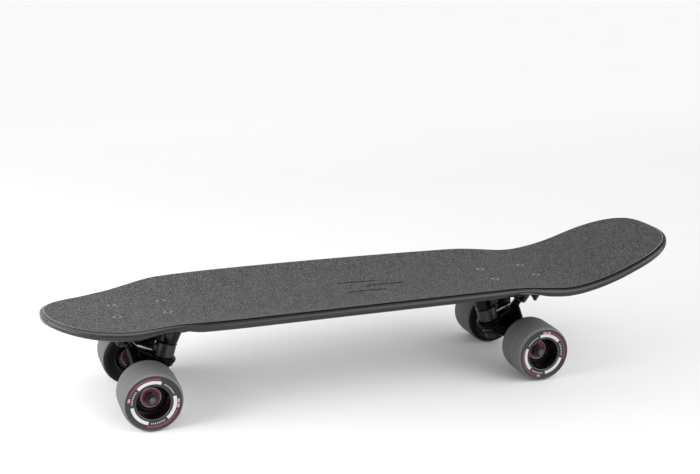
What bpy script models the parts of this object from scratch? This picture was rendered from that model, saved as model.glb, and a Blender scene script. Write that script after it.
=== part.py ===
"""Cruiser skateboard: a 742 mm kicktail deck on two kingpin trucks and four 65 mm wheels.

Frame: nose towards -X, tail towards +X, +Z up, floor at Z = 0, origin under the
middle of the board's overall length.  Left is -Y, right is +Y (seen by the rider
facing the nose).  All lengths below are in millimetres and are turned into metres
when a mesh is made.
"""

import math

import bmesh
import bpy
from mathutils import Matrix, Vector

MM = 0.001

# ---------------------------------------------------------------- deck
NOSE_X = -371.25           # outermost point of the nose
TAIL_X = 371.25            # outermost point of the tail
HALF_WIDTH = 95.8          # widest half width
NOSE_ROUND_X = -152.7      # the nose's round starts here
NOSE_POWER = 2.23          # superellipse exponent of the nose
TAIL_ROUND_X = 278.3       # the tail's round starts here
TAIL_POWER = 2.9           # superellipse exponent of the tail
TAPER_X = -119.3           # the sides start to draw in here
TAPER = 11.7               # half width lost from there to the tail's round
TAPER_POWER = 1.77
PLATFORM_Z = 106.5         # top of the grip on the flat middle
NOSE_RISE_X = -317.6       # the nose lifts from here
NOSE_RISE = 7.85
NOSE_RISE_POWER = 1.48
KICK_X = 200.4             # the kicktail starts here
KICK_RADIUS = 242.6
KICK_SLOPE = 0.356
CONCAVE = 9.0              # lift of the rails over the platform
CONCAVE_MID_X = -18.1
CONCAVE_LOSS = 0.9         # lift lost 175 mm either side of the middle
CONCAVE_FLAT = 0.50        # share of the half width that stays flat
CONCAVE_POWER = 1.6
FRONT_FADE = (-301.1, -228.9)
REAR_FADE = (138.2, 238.6)
TAIL_SPOON = 0.9           # small lift of the kicktail's sides
GRIP_THICK = 0.7
GRIP_GAP = 0.3
GRIP_INSET = 4.0           # the grip stops this far inside the rail
DECK_THICK = 10.0
RAIL_THICK = 9.35
NOSE_THIN = 1.7            # the nose's rail is thinner by this
NOSE_THIN_X = (-241.2, -351.2)   # from here to here
WELL_DEPTH = 4.15          # wheel wells carved into the underside of the rails
WELL_HALF = 35.1
FRONT_WELL_X = -248.4
REAR_WELL_X = 155.7
ROWS = 32                  # stations along the deck

# ---------------------------------------------------------------- wheels
WHEEL_R = 32.5
WHEEL_INNER_Y = 42.4       # inner face
WHEEL_OUTER_Y = 91.0       # outer face
LIP_R = 29.9
CORE_R = 18.6              # outside of the hub core
BEARING_R = 11.0
BEARING_BORE = 4.3
BEARING_WIDTH = 7.0
BEARING_OUT_Y = 74.2       # outer plane of the outer bearing
SPACER = 10.0              # between the two bearings
WHEEL_STEPS = 28
CORE_STEPS = 22

# ---------------------------------------------------------------- trucks
WHEELBASE = 451.2
WHEELBASE_MID_X = -44.3
STEER_TILT = math.radians(33.0)   # steering axis over the horizontal
KING_TILT = math.radians(16.0)    # kingpin off the vertical, its foot towards the axle
NOSE_TILT = math.radians(33.0)    # hanger's nose off the vertical
RING_U, RING_Z = 26.9, 45.9       # centre of the hanger's ring, U is inboard of the axle
PIVOT_REACH = 46.4                # ring centre to pivot ball along the steering axis
RING_R = 14.6
RING_HALF = 4.8
SEAT_R = 12.4
SEAT_HALF = 3.4
UPPER_BUSH = 15.4
LOWER_BUSH = 7.4
BUSH_R = 11.8
LOWER_BUSH_R = 8.6         # small end of the cone
UPPER_WASHER_R = 11.2
LOWER_WASHER_R = 9.2
WASHER = 1.4
KINGPIN_R = 4.7
HANGER_HALF = 49.3
AXLE_R = 3.97
AXLE_HALF = 84.5
BOLT_SPACING_X = 54.0
BOLT_SPACING_Y = 41.3
BOLT_OFFSET = 4.0          # bolt pattern's centre, inboard of the axle
BOLT_R = 2.4
HOLE_R = 2.8
PLATE_TOP_Z = 89.1
PLATE_THICK = 6.0
PLATE_U = (-34.0, 56.0)
PLATE_HALF_Y = 28.5
RISER_TOP_Z = 95.2
GAP = 0.3


# ================================================================ helpers
def clear_scene():
    for obj in list(bpy.data.objects):
        bpy.data.objects.remove(obj, do_unlink=True)


def material(name, colour, roughness, metallic=0.0):
    made = bpy.data.materials.new(name)
    made.use_nodes = True
    shader = made.node_tree.nodes["Principled BSDF"]
    shader.inputs["Base Color"].default_value = (*colour, 1.0)
    shader.inputs["Roughness"].default_value = roughness
    shader.inputs["Metallic"].default_value = metallic
    return made


def empty(name, location, spin=0.0, parent=None):
    holder = bpy.data.objects.new(name, None)
    bpy.context.scene.collection.objects.link(holder)
    holder.location = Vector(location) * MM
    holder.rotation_euler = (0.0, 0.0, spin)
    holder.parent = parent
    return holder


def place(name, mesh, look=None, parent=None, location=(0, 0, 0), spin=0.0):
    obj = bpy.data.objects.new(name, mesh)
    bpy.context.scene.collection.objects.link(obj)
    obj.parent = parent
    obj.location = Vector(location) * MM
    obj.rotation_euler = (0.0, 0.0, spin)
    if look is not None and not mesh.materials:
        mesh.materials.append(look)
    return obj


def helper(name, mesh, parent=None, location=(0, 0, 0), spin=0.0):
    """A solid that only cuts or joins another one."""
    obj = place(name, mesh, None, parent, location, spin)
    obj.hide_render = True
    obj.display_type = "WIRE"
    return obj


def boolean(obj, other, operation, solver="EXACT"):
    modifier = obj.modifiers.new(operation.lower() + "_" + other.name, "BOOLEAN")
    modifier.operation = operation
    modifier.solver = solver
    modifier.object = other


def finish_mesh(bm, name, smooth=40.0):
    bmesh.ops.recalc_face_normals(bm, faces=bm.faces)
    mesh = bpy.data.meshes.new(name)
    bm.to_mesh(mesh)
    bm.free()
    for vertex in mesh.vertices:
        vertex.co *= MM
    mesh.shade_smooth()
    mesh.set_sharp_from_angle(angle=math.radians(smooth))
    return mesh


def turned(name, profile, steps, matrix=None, phase=0.0):
    """A closed (radius, height) profile spun round the local Z axis."""
    bm = bmesh.new()
    ring = [bm.verts.new((r * math.cos(phase), r * math.sin(phase), h)) for r, h in profile]
    edges = [bm.edges.new((ring[i], ring[(i + 1) % len(ring)])) for i in range(len(ring))]
    bmesh.ops.spin(
        bm, geom=ring + edges, axis=(0, 0, 1), cent=(0, 0, 0),
        angle=2 * math.pi, steps=steps, use_merge=True,
    )
    bmesh.ops.remove_doubles(bm, verts=bm.verts, dist=1e-4)
    bmesh.ops.dissolve_degenerate(bm, edges=bm.edges, dist=1e-5)
    if matrix is not None:
        bmesh.ops.transform(bm, matrix=matrix, verts=bm.verts)
    return finish_mesh(bm, name)


def rod_profile(radius_heights):
    """Closes an outer (radius, height) run onto the axis."""
    first, last = radius_heights[0], radius_heights[-1]
    return [(0.0, first[1])] + list(radius_heights) + [(0.0, last[1])]


def circle(centre, normal, radius, steps, phase=0.0):
    """Points of a circle round a centre, in the plane across the normal."""
    turn = Vector(normal).to_track_quat("Z", "Y")
    points = []
    for i in range(steps):
        angle = phase + 2 * math.pi * i / steps
        points.append(Vector(centre) + turn @ Vector((radius * math.cos(angle), radius * math.sin(angle), 0)))
    return points


def ball(centre, radius, steps=8, rings=5):
    points = []
    for j in range(1, rings):
        lift = math.pi * (j / rings - 0.5)
        for i in range(steps):
            angle = 2 * math.pi * i / steps
            points.append(Vector(centre) + radius * Vector((
                math.cos(lift) * math.cos(angle), math.cos(lift) * math.sin(angle), math.sin(lift))))
    points.append(Vector(centre) + Vector((0, 0, radius)))
    points.append(Vector(centre) - Vector((0, 0, radius)))
    return points


def hull(name, points):
    """The smallest convex solid that holds the points."""
    bm = bmesh.new()
    for point in points:
        bm.verts.new(point)
    made = bmesh.ops.convex_hull(bm, input=bm.verts, use_existing_faces=False)
    spare = {g for g in made["geom_interior"] + made["geom_unused"] if isinstance(g, bmesh.types.BMVert)}
    bmesh.ops.delete(bm, geom=list(spare), context="VERTS")
    return finish_mesh(bm, name, 35.0)


def rounded_slab(name, low, high, corner, steps=5):
    """A flat slab with round corners in plan."""
    (x0, y0, z0), (x1, y1, z1) = low, high
    outline = []
    for cx, cy, start in ((x1 - corner, y1 - corner, 0), (x0 + corner, y1 - corner, 90),
                          (x0 + corner, y0 + corner, 180), (x1 - corner, y0 + corner, 270)):
        for i in range(steps):
            angle = math.radians(start + 90 * i / (steps - 1))
            outline.append((cx + corner * math.cos(angle), cy + corner * math.sin(angle)))
    bm = bmesh.new()
    face = bm.faces.new([bm.verts.new((x, y, z0)) for x, y in outline])
    side = bmesh.ops.extrude_face_region(bm, geom=[face])
    top = [g for g in side["geom"] if isinstance(g, bmesh.types.BMVert)]
    bmesh.ops.translate(bm, vec=(0, 0, z1 - z0), verts=top)
    return finish_mesh(bm, name)


# ================================================================ deck surfaces
def clamp(value, low=0.0, high=1.0):
    return max(low, min(high, value))


def ease(value):
    value = clamp(value)
    return value * value * (3 - 2 * value)


def half_width(x):
    """Half width of the deck's outline."""
    width = HALF_WIDTH
    if x > TAPER_X:
        width -= TAPER * ((x - TAPER_X) / (TAIL_ROUND_X - TAPER_X)) ** TAPER_POWER
    if x < NOSE_ROUND_X:
        share = clamp((NOSE_ROUND_X - x) / (NOSE_ROUND_X - NOSE_X))
        width *= (1 - share ** NOSE_POWER) ** (1 / NOSE_POWER)
    if x > TAIL_ROUND_X:
        share = clamp((x - TAIL_ROUND_X) / (TAIL_X - TAIL_ROUND_X))
        width *= (1 - share ** TAIL_POWER) ** (1 / TAIL_POWER)
    return width


def spine_z(x):
    """Grip height along the middle of the board."""
    if x < NOSE_RISE_X:
        return PLATFORM_Z + NOSE_RISE * ((NOSE_RISE_X - x) / (NOSE_RISE_X - NOSE_X)) ** NOSE_RISE_POWER
    if x <= KICK_X:
        return PLATFORM_Z
    arc = KICK_SLOPE * KICK_RADIUS
    run = x - KICK_X
    if run < arc:
        return PLATFORM_Z + run * run / (2 * KICK_RADIUS)
    return PLATFORM_Z + arc * arc / (2 * KICK_RADIUS) + (run - arc) * KICK_SLOPE


def rail_lift(x):
    """How far the rails stand over the middle at this station."""
    lift = CONCAVE - CONCAVE_LOSS * ((x - CONCAVE_MID_X) / 175.0) ** 2
    lift *= ease((x - FRONT_FADE[0]) / (FRONT_FADE[1] - FRONT_FADE[0]))
    lift *= 1 - ease((x - REAR_FADE[0]) / (REAR_FADE[1] - REAR_FADE[0]))
    spoon = TAIL_SPOON * ease((x - KICK_X) / 40.0) * (1 - ease((x - 298.0) / 60.0))
    return max(lift, 0.0) + spoon


def grip_top(x, y):
    share = clamp(abs(y) / max(half_width(x) - GRIP_INSET, 8.0))
    rise = clamp((share - CONCAVE_FLAT) / (1 - CONCAVE_FLAT)) ** CONCAVE_POWER
    return spine_z(x) + rail_lift(x) * rise


def well(x):
    deep = 0.0
    for middle in (FRONT_WELL_X, REAR_WELL_X):
        deep = max(deep, math.cos(clamp(abs(x - middle) / WELL_HALF) * math.pi / 2) ** 2)
    return deep


def deck_thickness(x, y):
    share = clamp(abs(y) / max(half_width(x) - GRIP_INSET, 8.0))
    side = clamp((share - 0.55) / 0.45) ** 1.5
    rail = RAIL_THICK - NOSE_THIN * ease((x - NOSE_THIN_X[0]) / (NOSE_THIN_X[1] - NOSE_THIN_X[0]))
    return DECK_THICK - (DECK_THICK - rail) * side - WELL_DEPTH * well(x) * side


def outline():
    """The outline's right side from nose to tail: points and outward normals."""
    def at(share):
        x = NOSE_X + (TAIL_X - NOSE_X) * 0.5 * (1 - math.cos(math.pi * share))
        return Vector((x, half_width(x)))
    points, normals = [], []
    for i in range(ROWS + 1):
        share = i / ROWS
        here = at(share)
        if i == 0:
            normal = Vector((-1, 0))
        elif i == ROWS:
            normal = Vector((1, 0))
        else:
            step = at(min(share + 0.004, 1)) - at(max(share - 0.004, 0))
            normal = Vector((-step.y, step.x)).normalized()
        points.append(here)
        normals.append(normal)
    return points, normals


def inset_ring(inset):
    points, normals = outline()
    return [p - n * inset for p, n in zip(points, normals)]


ACROSS = (1.0, 0.86, 0.70, 0.50, 0.0, -0.50, -0.70, -0.86, -1.0)


def deck_sheet(bm, ring, height):
    """A surface across the board inside one ring; returns rows of vertices."""
    rows = []
    last = len(ring) - 1
    for i, point in enumerate(ring):
        if i in (0, last):
            rows.append([bm.verts.new((point.x, 0, height(point.x, 0)))])
            continue
        rows.append([bm.verts.new((point.x, point.y * a, height(point.x, point.y * a))) for a in ACROSS])
    for first, second in zip(rows, rows[1:]):
        if len(first) == 1:
            for a, b in zip(second, second[1:]):
                bm.faces.new((first[0], a, b))
        elif len(second) == 1:
            for a, b in zip(first, first[1:]):
                bm.faces.new((a, second[0], b))
        else:
            for (a, b), (c, d) in zip(zip(first, first[1:]), zip(second, second[1:])):
                bm.faces.new((a, c, d, b))
    return rows


def rim_of(rows):
    """The closed loop round a sheet's rows."""
    return [rows[0][0]] + [r[0] for r in rows[1:-1]] + [rows[-1][0]] + [r[-1] for r in reversed(rows[1:-1])]


def rim_points(bm, inset, height):
    ring = inset_ring(inset)
    loop = [(p.x, p.y) for p in ring] + [(p.x, -p.y) for p in reversed(ring[1:-1])]
    return [bm.verts.new((x, y, height(x, y))) for x, y in loop]


def join_loops(bm, first, second):
    count = len(first)
    for i in range(count):
        j = (i + 1) % count
        bm.faces.new((first[i], first[j], second[j], second[i]))


def deck_mesh():
    """Top sheet, round rail and bottom sheet as one skin."""
    bm = bmesh.new()

    def top(x, y):
        return grip_top(x, y) - GRIP_THICK - GRIP_GAP

    def under(x, y):
        return top(x, y) - deck_thickness(x, y)

    def rail(share, inset):
        """Height on the rail: share 0 at its top, 1 at its bottom."""
        def height(x, y):
            return top(x, y) - share * deck_thickness(x, y)
        return rim_points(bm, inset, height)

    upper = rim_of(deck_sheet(bm, inset_ring(GRIP_INSET), top))
    lower = rim_of(deck_sheet(bm, inset_ring(GRIP_INSET), under))
    loops = [upper, rail(0.06, 1.7), rail(0.26, 0.35), rail(0.5, 0.0), rail(0.74, 0.35), rail(0.94, 1.7), lower]
    for first, second in zip(loops, loops[1:]):
        join_loops(bm, first, second)
    return finish_mesh(bm, "deck", 50.0)


def grip_mesh():
    bm = bmesh.new()
    ring = inset_ring(GRIP_INSET + 0.2)
    upper = rim_of(deck_sheet(bm, ring, grip_top))
    lower = rim_of(deck_sheet(bm, ring, lambda x, y: grip_top(x, y) - GRIP_THICK))
    join_loops(bm, upper, lower)
    return finish_mesh(bm, "grip_tape", 50.0)


# ================================================================ truck shapes, in U (inboard), Y, Z
KING = Vector((math.sin(KING_TILT), 0, math.cos(KING_TILT)))       # along the kingpin, upwards
KING_SIDE = Vector((math.cos(KING_TILT), 0, -math.sin(KING_TILT))) # across the kingpin, inboard
STEER = Vector((math.cos(STEER_TILT), 0, -math.sin(STEER_TILT)))   # along the steering axis, inboard
RING = Vector((RING_U, 0, RING_Z))
PIVOT = RING - STEER * PIVOT_REACH
NOSE = Vector((-math.sin(NOSE_TILT), 0, math.cos(NOSE_TILT)))       # along the hanger's nose, into its cup


def on_king(distance):
    return RING + KING * distance


def king_matrix(distance=0.0):
    """Stands a turned piece on the kingpin's axis."""
    turn = KING.to_track_quat("Z", "Y").to_matrix().to_4x4()
    return Matrix.Translation(on_king(distance)) @ turn


BUSH_UP0 = SEAT_HALF + GAP
BUSH_UP1 = BUSH_UP0 + UPPER_BUSH
WASH_UP0 = BUSH_UP1 + GAP
WASH_UP1 = WASH_UP0 + WASHER
BOSS = WASH_UP1 + GAP
BUSH_LOW0 = -SEAT_HALF - GAP
BUSH_LOW1 = BUSH_LOW0 - LOWER_BUSH
WASH_LOW0 = BUSH_LOW1 - GAP
WASH_LOW1 = WASH_LOW0 - WASHER
NUT_TOP = WASH_LOW1 - GAP
NUT_LOW = NUT_TOP - 6.6
KING_LOW = NUT_LOW - 1.4
HEAD_LOW = BOSS + 9.0
HEAD_TOP = HEAD_LOW + 6.0


def bushing_mesh(name, low, high, low_r, high_r):
    """A barrel or a cone of urethane round the kingpin."""
    profile = [
        (KINGPIN_R + GAP, low), (low_r - 0.8, low), (low_r, low + 0.9),
        ((low_r + high_r) / 2, (low + high) / 2), (high_r, high - 0.9), (high_r - 0.8, high),
        (KINGPIN_R + GAP, high),
    ]
    return turned(name, profile, 16, king_matrix())


def washer_mesh(name, flat, towards, radius):
    """A cup washer: its rim turns past the flat face towards the bushing."""
    far = flat - WASHER * towards
    rim = flat + 0.6 * towards
    profile = [(KINGPIN_R + GAP, far), (radius - 0.6, far), (radius + 0.9, flat), (radius + 0.9, rim),
               (radius + 0.25, rim), (radius - 0.4, flat), (KINGPIN_R + GAP, flat)]
    return turned(name, profile, 16, king_matrix())


def hex_nut_mesh(name, across, bore, low, high, matrix=None):
    """A six-sided nut with a plain bore and a small chamfer."""
    corner = across / 2 / math.cos(math.pi / 6)
    bm = bmesh.new()
    loops = []
    for radius, height in ((corner * 0.93, low), (corner, low + 0.12 * (high - low)), (corner, high)):
        loops.append([bm.verts.new((radius * math.cos(math.radians(60 * i)), radius * math.sin(math.radians(60 * i)), height)) for i in range(6)])
    bores = [[bm.verts.new((bore * math.cos(math.radians(30 * i)), bore * math.sin(math.radians(30 * i)), h)) for i in range(12)] for h in (low, high)]
    join_loops(bm, loops[0], loops[1])
    join_loops(bm, loops[1], loops[2])
    join_loops(bm, bores[0], bores[1])
    for outer, inner in ((loops[0], bores[0]), (loops[2], bores[1])):
        for i in range(6):
            j = (i + 1) % 6
            bm.faces.new((outer[i], inner[2 * i], inner[2 * i + 1]))
            bm.faces.new((outer[i], inner[2 * i + 1], outer[j]))
            bm.faces.new((outer[j], inner[2 * i + 1], inner[(2 * i + 2) % 12]))
    if matrix is not None:
        bmesh.ops.transform(bm, matrix=matrix, verts=bm.verts)
    return finish_mesh(bm, name, 25.0)


def kingpin_mesh(name):
    """A bolt whose hexagon head lies in the baseplate's pocket."""
    corner = 7.6
    bm = bmesh.new()
    shank = [[bm.verts.new((r * math.cos(math.radians(30 * i)), r * math.sin(math.radians(30 * i)), h)) for i in range(12)]
             for r, h in ((KINGPIN_R - 0.7, KING_LOW), (KINGPIN_R, KING_LOW + 0.8), (KINGPIN_R, HEAD_LOW))]
    head = [[bm.verts.new((corner * math.cos(math.radians(60 * i)), corner * math.sin(math.radians(60 * i)), h)) for i in range(6)]
            for h in (HEAD_LOW, HEAD_TOP)]
    bm.faces.new(shank[0])
    join_loops(bm, shank[0], shank[1])
    join_loops(bm, shank[1], shank[2])
    join_loops(bm, head[0], head[1])
    bm.faces.new(head[1])
    for i in range(6):
        j = (i + 1) % 6
        bm.faces.new((head[0][i], shank[2][2 * i], shank[2][2 * i + 1]))
        bm.faces.new((head[0][i], shank[2][2 * i + 1], head[0][j]))
        bm.faces.new((head[0][j], shank[2][2 * i + 1], shank[2][(2 * i + 2) % 12]))
    bmesh.ops.transform(bm, matrix=king_matrix(), verts=bm.verts)
    return finish_mesh(bm, name, 25.0)


def nose_matrix():
    """Stands a turned piece on the hanger's nose, at the pivot."""
    return Matrix.Translation(PIVOT) @ NOSE.to_track_quat("Z", "Y").to_matrix().to_4x4()


def along_y(y):
    """Stands a turned piece on the axle, its Z towards +Y, at the truck's own place."""
    return Matrix.Translation((0, y, WHEEL_R)) @ Matrix.Rotation(math.radians(-90), 4, "X")


def hanger_parts():
    """Convex lumps of the casting, the cuts in it, and the tube that is left whole."""
    axle = Vector((0, 0, WHEEL_R))
    y = Vector((0, 1, 0))
    ring = [p for s in (-RING_HALF, RING_HALF) for p in circle(on_king(s), KING, RING_R, 18)]
    lumps = {
        "ring_yoke": hull("ring_yoke", ring
                          + circle(axle + y * 24 + Vector((0, 0, 1)), y, 7.5, 12)
                          + circle(axle - y * 24 + Vector((0, 0, 1)), y, 7.5, 12)),
        "wing": hull("wing", circle(axle + y * 41 + Vector((-0.5, 0, 0.5)), y, 7.2, 12)
                     + circle(axle - y * 41 + Vector((-0.5, 0, 0.5)), y, 7.2, 12)
                     + ball((-6.5, 4.0, 59.5), 5.4) + ball((-6.5, -4.0, 59.5), 5.4)),
        "ridge": hull("ridge", circle(RING - STEER * 12.5, STEER, 7.2, 12) + circle(RING - STEER * 31, STEER, 5.2, 12)
                      + ball((-4.5, 0, 56), 5.0)),
        "pivot_nose": turned("pivot_nose", rod_profile(
            [(6.8, -17.0), (5.4, -9.0), (4.9, -5.0)]
            + [(5.4 * math.cos(math.radians(a)), 5.4 * math.sin(math.radians(a))) for a in (-24, 0, 25, 50, 72)]
            + [(0.6, 5.4)]), 14, nose_matrix()),
    }
    tube = turned("axle_tube", rod_profile([
        (7.4, -HANGER_HALF), (8.0, -HANGER_HALF + 0.8), (8.0, -42), (8.3, -30), (8.2, 0), (8.3, 30), (8.0, 42),
        (8.0, HANGER_HALF - 0.8), (7.4, HANGER_HALF)]), 16, along_y(0))
    cuts = {
        "ring_bore": turned("ring_bore", rod_profile([(7.6, -12), (7.6, 12)]), 16, king_matrix()),
        "upper_seat": turned("upper_seat", rod_profile([(SEAT_R, SEAT_HALF), (SEAT_R + 0.5, RING_HALF + 1.0), (16.5, 19.0)]), 18, king_matrix()),
        "lower_seat": turned("lower_seat", rod_profile([(17.0, -27.0), (SEAT_R + 0.5, -RING_HALF - 1.0), (SEAT_R, -SEAT_HALF)]), 18, king_matrix()),
    }
    bore = turned("axle_bore", rod_profile([(AXLE_R + GAP + 0.1, -60), (AXLE_R + GAP + 0.1, 60)]), 12, along_y(0))
    return lumps, cuts, tube, bore


def baseplate_parts():
    slab = rounded_slab("plate_slab", (PLATE_U[0], -PLATE_HALF_Y, PLATE_TOP_Z - PLATE_THICK),
                        (PLATE_U[1], PLATE_HALF_Y, PLATE_TOP_Z), 9.0)
    lift = (PLATE_TOP_Z - 2.5 - on_king(BOSS).z)
    lumps = {
        "king_boss": hull("king_boss", circle(on_king(BOSS), KING, 11.6, 20) + circle(on_king(BOSS + 9), KING, 13.0, 20)
                          + circle(Vector((on_king(BOSS + 19).x + 1, 0, PLATE_TOP_Z - 3.0)), (0, 0, 1), 15.0, 20)),
        "web": hull("web", circle((-8, 0, 86), (0, 0, 1), 11.0, 12) + circle((36, 0, 86), (0, 0, 1), 11.0, 12)
                    + ball((17.0, 0, 69.2), 6.0, 8, 6) + ball((8.0, 0, 72.2), 6.0, 8, 6) + ball((-1.0, 0, 77.2), 6.0, 8, 6)),
        "pivot_housing": hull("pivot_housing", circle(PIVOT - NOSE * 1.0, NOSE, 9.3, 16) + circle(PIVOT + NOSE * 7, NOSE, 9.8, 16)
                              + circle((PIVOT.x - 7.0, 0, PLATE_TOP_Z - 3.0), (0, 0, 1), 13.0, 16)),
    }
    cuts = {
        "king_hole": turned("king_hole", rod_profile([(KINGPIN_R + GAP, BOSS - 8), (KINGPIN_R + GAP, HEAD_LOW + 2)]), 16, king_matrix()),
        "head_pocket": turned("head_pocket", rod_profile([(8.8, HEAD_LOW - GAP), (8.8, 62)]), 16, king_matrix()),
        "cup_socket": turned("cup_socket", rod_profile([(7.9, -12.0), (7.9, 8.0)]), 16, nose_matrix()),
    }
    cuts["stack_room"] = turned("stack_room", rod_profile([(15.5, BOSS - 14), (15.5, BOSS)]), 20, king_matrix())
    for i, u in enumerate((-1, 1)):
        for j, v in enumerate((-1, 1)):
            where = (BOLT_OFFSET + u * BOLT_SPACING_X / 2, v * BOLT_SPACING_Y / 2, 0)
            cuts[f"plate_hole_{i}{j}"] = turned(f"plate_hole_{i}{j}", rod_profile([(HOLE_R, 40), (HOLE_R, 92)]), 12,
                                                Matrix.Translation(where))
    return slab, lumps, cuts


def pivot_cup_mesh(name):
    """The urethane cup between the hanger's nose and the baseplate."""
    inner = 5.75
    profile = [(7.6, -2.4), (7.6, 7.7), (0.0, 7.7), (0.0, inner)]
    for i in range(1, 6):
        angle = math.radians(90 - 90 * i / 5)
        profile.append((inner * math.cos(angle), inner * math.sin(angle)))
    profile += [(6.3, -2.4)]
    return turned(name, profile, 16, nose_matrix())


def riser_mesh(name):
    return rounded_slab(name, (PLATE_U[0], -PLATE_HALF_Y, PLATE_TOP_Z + GAP), (PLATE_U[1], PLATE_HALF_Y, RISER_TOP_Z), 9.0)


def bolt_places():
    for i, u in enumerate((-1, 1)):
        for j, v in enumerate((-1, 1)):
            yield i * 2 + j + 1, (BOLT_OFFSET + u * BOLT_SPACING_X / 2, v * BOLT_SPACING_Y / 2)


def deck_bolt_mesh(name):
    """Countersunk bolt, flush with the grip."""
    top = PLATFORM_Z - 0.15
    return turned(name, rod_profile([(BOLT_R - 0.5, 74.0), (BOLT_R, 74.6), (BOLT_R, top - 3.4), (4.7, top - 0.7), (4.7, top)]), 10)


def deck_hole_mesh(name):
    top = PLATFORM_Z - 0.15
    return turned(name, rod_profile([(HOLE_R, 88.0), (HOLE_R, top - 3.4), (5.2, top - 0.9), (5.2, top + 6)]), 10)


# ================================================================ wheels, local Z outwards, 0 at the axle's middle
def tyre_mesh(name):
    """Urethane tyre: flats touch the floor, so the radius is measured to them."""
    grow = 1 / math.cos(math.pi / WHEEL_STEPS)
    inner, outer = WHEEL_INNER_Y, WHEEL_OUTER_Y
    profile = [
        (CORE_R + GAP, inner + 1.2), (26.5, inner), (29.2, inner + 0.8), (31.6, inner + 4.4), (WHEEL_R, inner + 9.0),
        (WHEEL_R, outer - 8.2), (31.8, outer - 2.8), (LIP_R, outer), (28.2, outer - 0.5), (CORE_R + GAP, outer - 1.0),
    ]
    return turned(name, [(r * grow, h) for r, h in profile], WHEEL_STEPS, phase=math.pi / WHEEL_STEPS)


def core_mesh(name):
    """Moulded hub with two bearing seats and a deep outer cavity."""
    out0, out1 = BEARING_OUT_Y, BEARING_OUT_Y - BEARING_WIDTH
    in1, in0 = out1 - SPACER, out1 - SPACER - BEARING_WIDTH
    seat = BEARING_R + GAP
    profile = [
        (17.2, WHEEL_INNER_Y + 1.6), (CORE_R, WHEEL_INNER_Y + 1.6), (CORE_R, WHEEL_OUTER_Y - 1.2), (17.6, WHEEL_OUTER_Y - 1.2),
        (14.6, out0 + 0.6), (seat, out0 + 0.6), (seat, out1 - GAP), (9.2, out1 - GAP), (9.2, in1 + GAP), (seat, in1 + GAP), (seat, in0 - 0.6),
        (14.6, in0 - 0.6),
    ]
    return turned(name, profile, CORE_STEPS)


def bearing_mesh(name, low):
    """Bearing: bore, sunk shield on the outer face, round outer ring."""
    high = low + BEARING_WIDTH
    profile = [
        (BEARING_BORE, low), (BEARING_R, low), (BEARING_R, high), (9.8, high), (9.6, high - 0.5),
        (6.2, high - 0.5), (6.0, high), (BEARING_BORE, high),
    ]
    return turned(name, profile, 16)


def axle_mesh(name):
    return turned(name, rod_profile([
        (AXLE_R - 0.8, -AXLE_HALF), (AXLE_R, -AXLE_HALF + 0.8), (AXLE_R, AXLE_HALF - 0.8), (AXLE_R - 0.8, AXLE_HALF)]), 12, along_y(0))


# ================================================================ build
clear_scene()

looks = {
    "grip": material("grip_black", (0.09, 0.09, 0.09), 0.95),
    "deck": material("deck_satin", (0.045, 0.045, 0.048), 0.45),
    "truck": material("truck_black", (0.02, 0.02, 0.022), 0.4, 0.3),
    "steel": material("steel", (0.45, 0.45, 0.45), 0.35, 1.0),
    "black_steel": material("black_steel", (0.05, 0.05, 0.05), 0.4, 0.8),
    "bushing": material("bushing_black", (0.03, 0.03, 0.03), 0.5),
    "tyre": material("tyre_grey", (0.11, 0.11, 0.115), 0.6),
    "core": material("core_black", (0.012, 0.012, 0.014), 0.2),
    "bearing": material("bearing_crimson", (0.45, 0.03, 0.12), 0.4),
    "riser": material("riser_black", (0.025, 0.025, 0.025), 0.8),
    "cup": material("cup_black", (0.03, 0.03, 0.03), 0.7),
}

board = empty("board", (0, 0, 0))
deck = place("deck", deck_mesh(), looks["deck"], board)
grip = place("grip_tape", grip_mesh(), looks["grip"], board)

half = WHEELBASE / 2
TRUCKS = (("front", WHEELBASE_MID_X - half, 0.0), ("rear", WHEELBASE_MID_X + half, math.pi))

# meshes that both trucks share
lumps, hanger_cuts, tube, axle_bore = hanger_parts()
slab, plate_lumps, plate_cuts = baseplate_parts()
shared = {
    "riser_pad": riser_mesh("riser_pad"),
    "kingpin": kingpin_mesh("kingpin"),
    "kingpin_nut": hex_nut_mesh("kingpin_nut", 14.2, KINGPIN_R + GAP, NUT_LOW, NUT_TOP, king_matrix()),
    "upper_bushing": bushing_mesh("upper_bushing", BUSH_UP0, BUSH_UP1, BUSH_R, BUSH_R - 0.5),
    "lower_bushing": bushing_mesh("lower_bushing", BUSH_LOW1, BUSH_LOW0, LOWER_BUSH_R, BUSH_R - 0.4),
    "upper_washer": washer_mesh("upper_washer", WASH_UP0, -1, UPPER_WASHER_R),
    "lower_washer": washer_mesh("lower_washer", WASH_LOW0, 1, LOWER_WASHER_R),
    "pivot_cup": pivot_cup_mesh("pivot_cup"),
    "axle": axle_mesh("axle"),
    "deck_bolt": deck_bolt_mesh("deck_bolt"),
    "deck_nut": hex_nut_mesh("deck_nut", 8.7, BOLT_R + GAP, 77.0, PLATE_TOP_Z - PLATE_THICK - GAP),
    "tyre": tyre_mesh("tyre"),
    "core": core_mesh("core"),
    "outer_bearing": bearing_mesh("outer_bearing", BEARING_OUT_Y - BEARING_WIDTH),
    "inner_bearing": bearing_mesh("inner_bearing", BEARING_OUT_Y - 2 * BEARING_WIDTH - SPACER),
    "axle_nut": hex_nut_mesh("axle_nut", 12.7, AXLE_R + GAP, BEARING_OUT_Y + 0.6, BEARING_OUT_Y + 7.2),
}
slot = {
    "riser_pad": "riser", "kingpin": "steel", "kingpin_nut": "black_steel", "upper_bushing": "bushing", "lower_bushing": "bushing",
    "upper_washer": "black_steel", "lower_washer": "black_steel", "pivot_cup": "cup", "axle": "steel", "deck_bolt": "black_steel",
    "deck_nut": "black_steel", "tyre": "tyre", "core": "core", "outer_bearing": "bearing", "inner_bearing": "bearing", "axle_nut": "steel",
}
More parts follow.
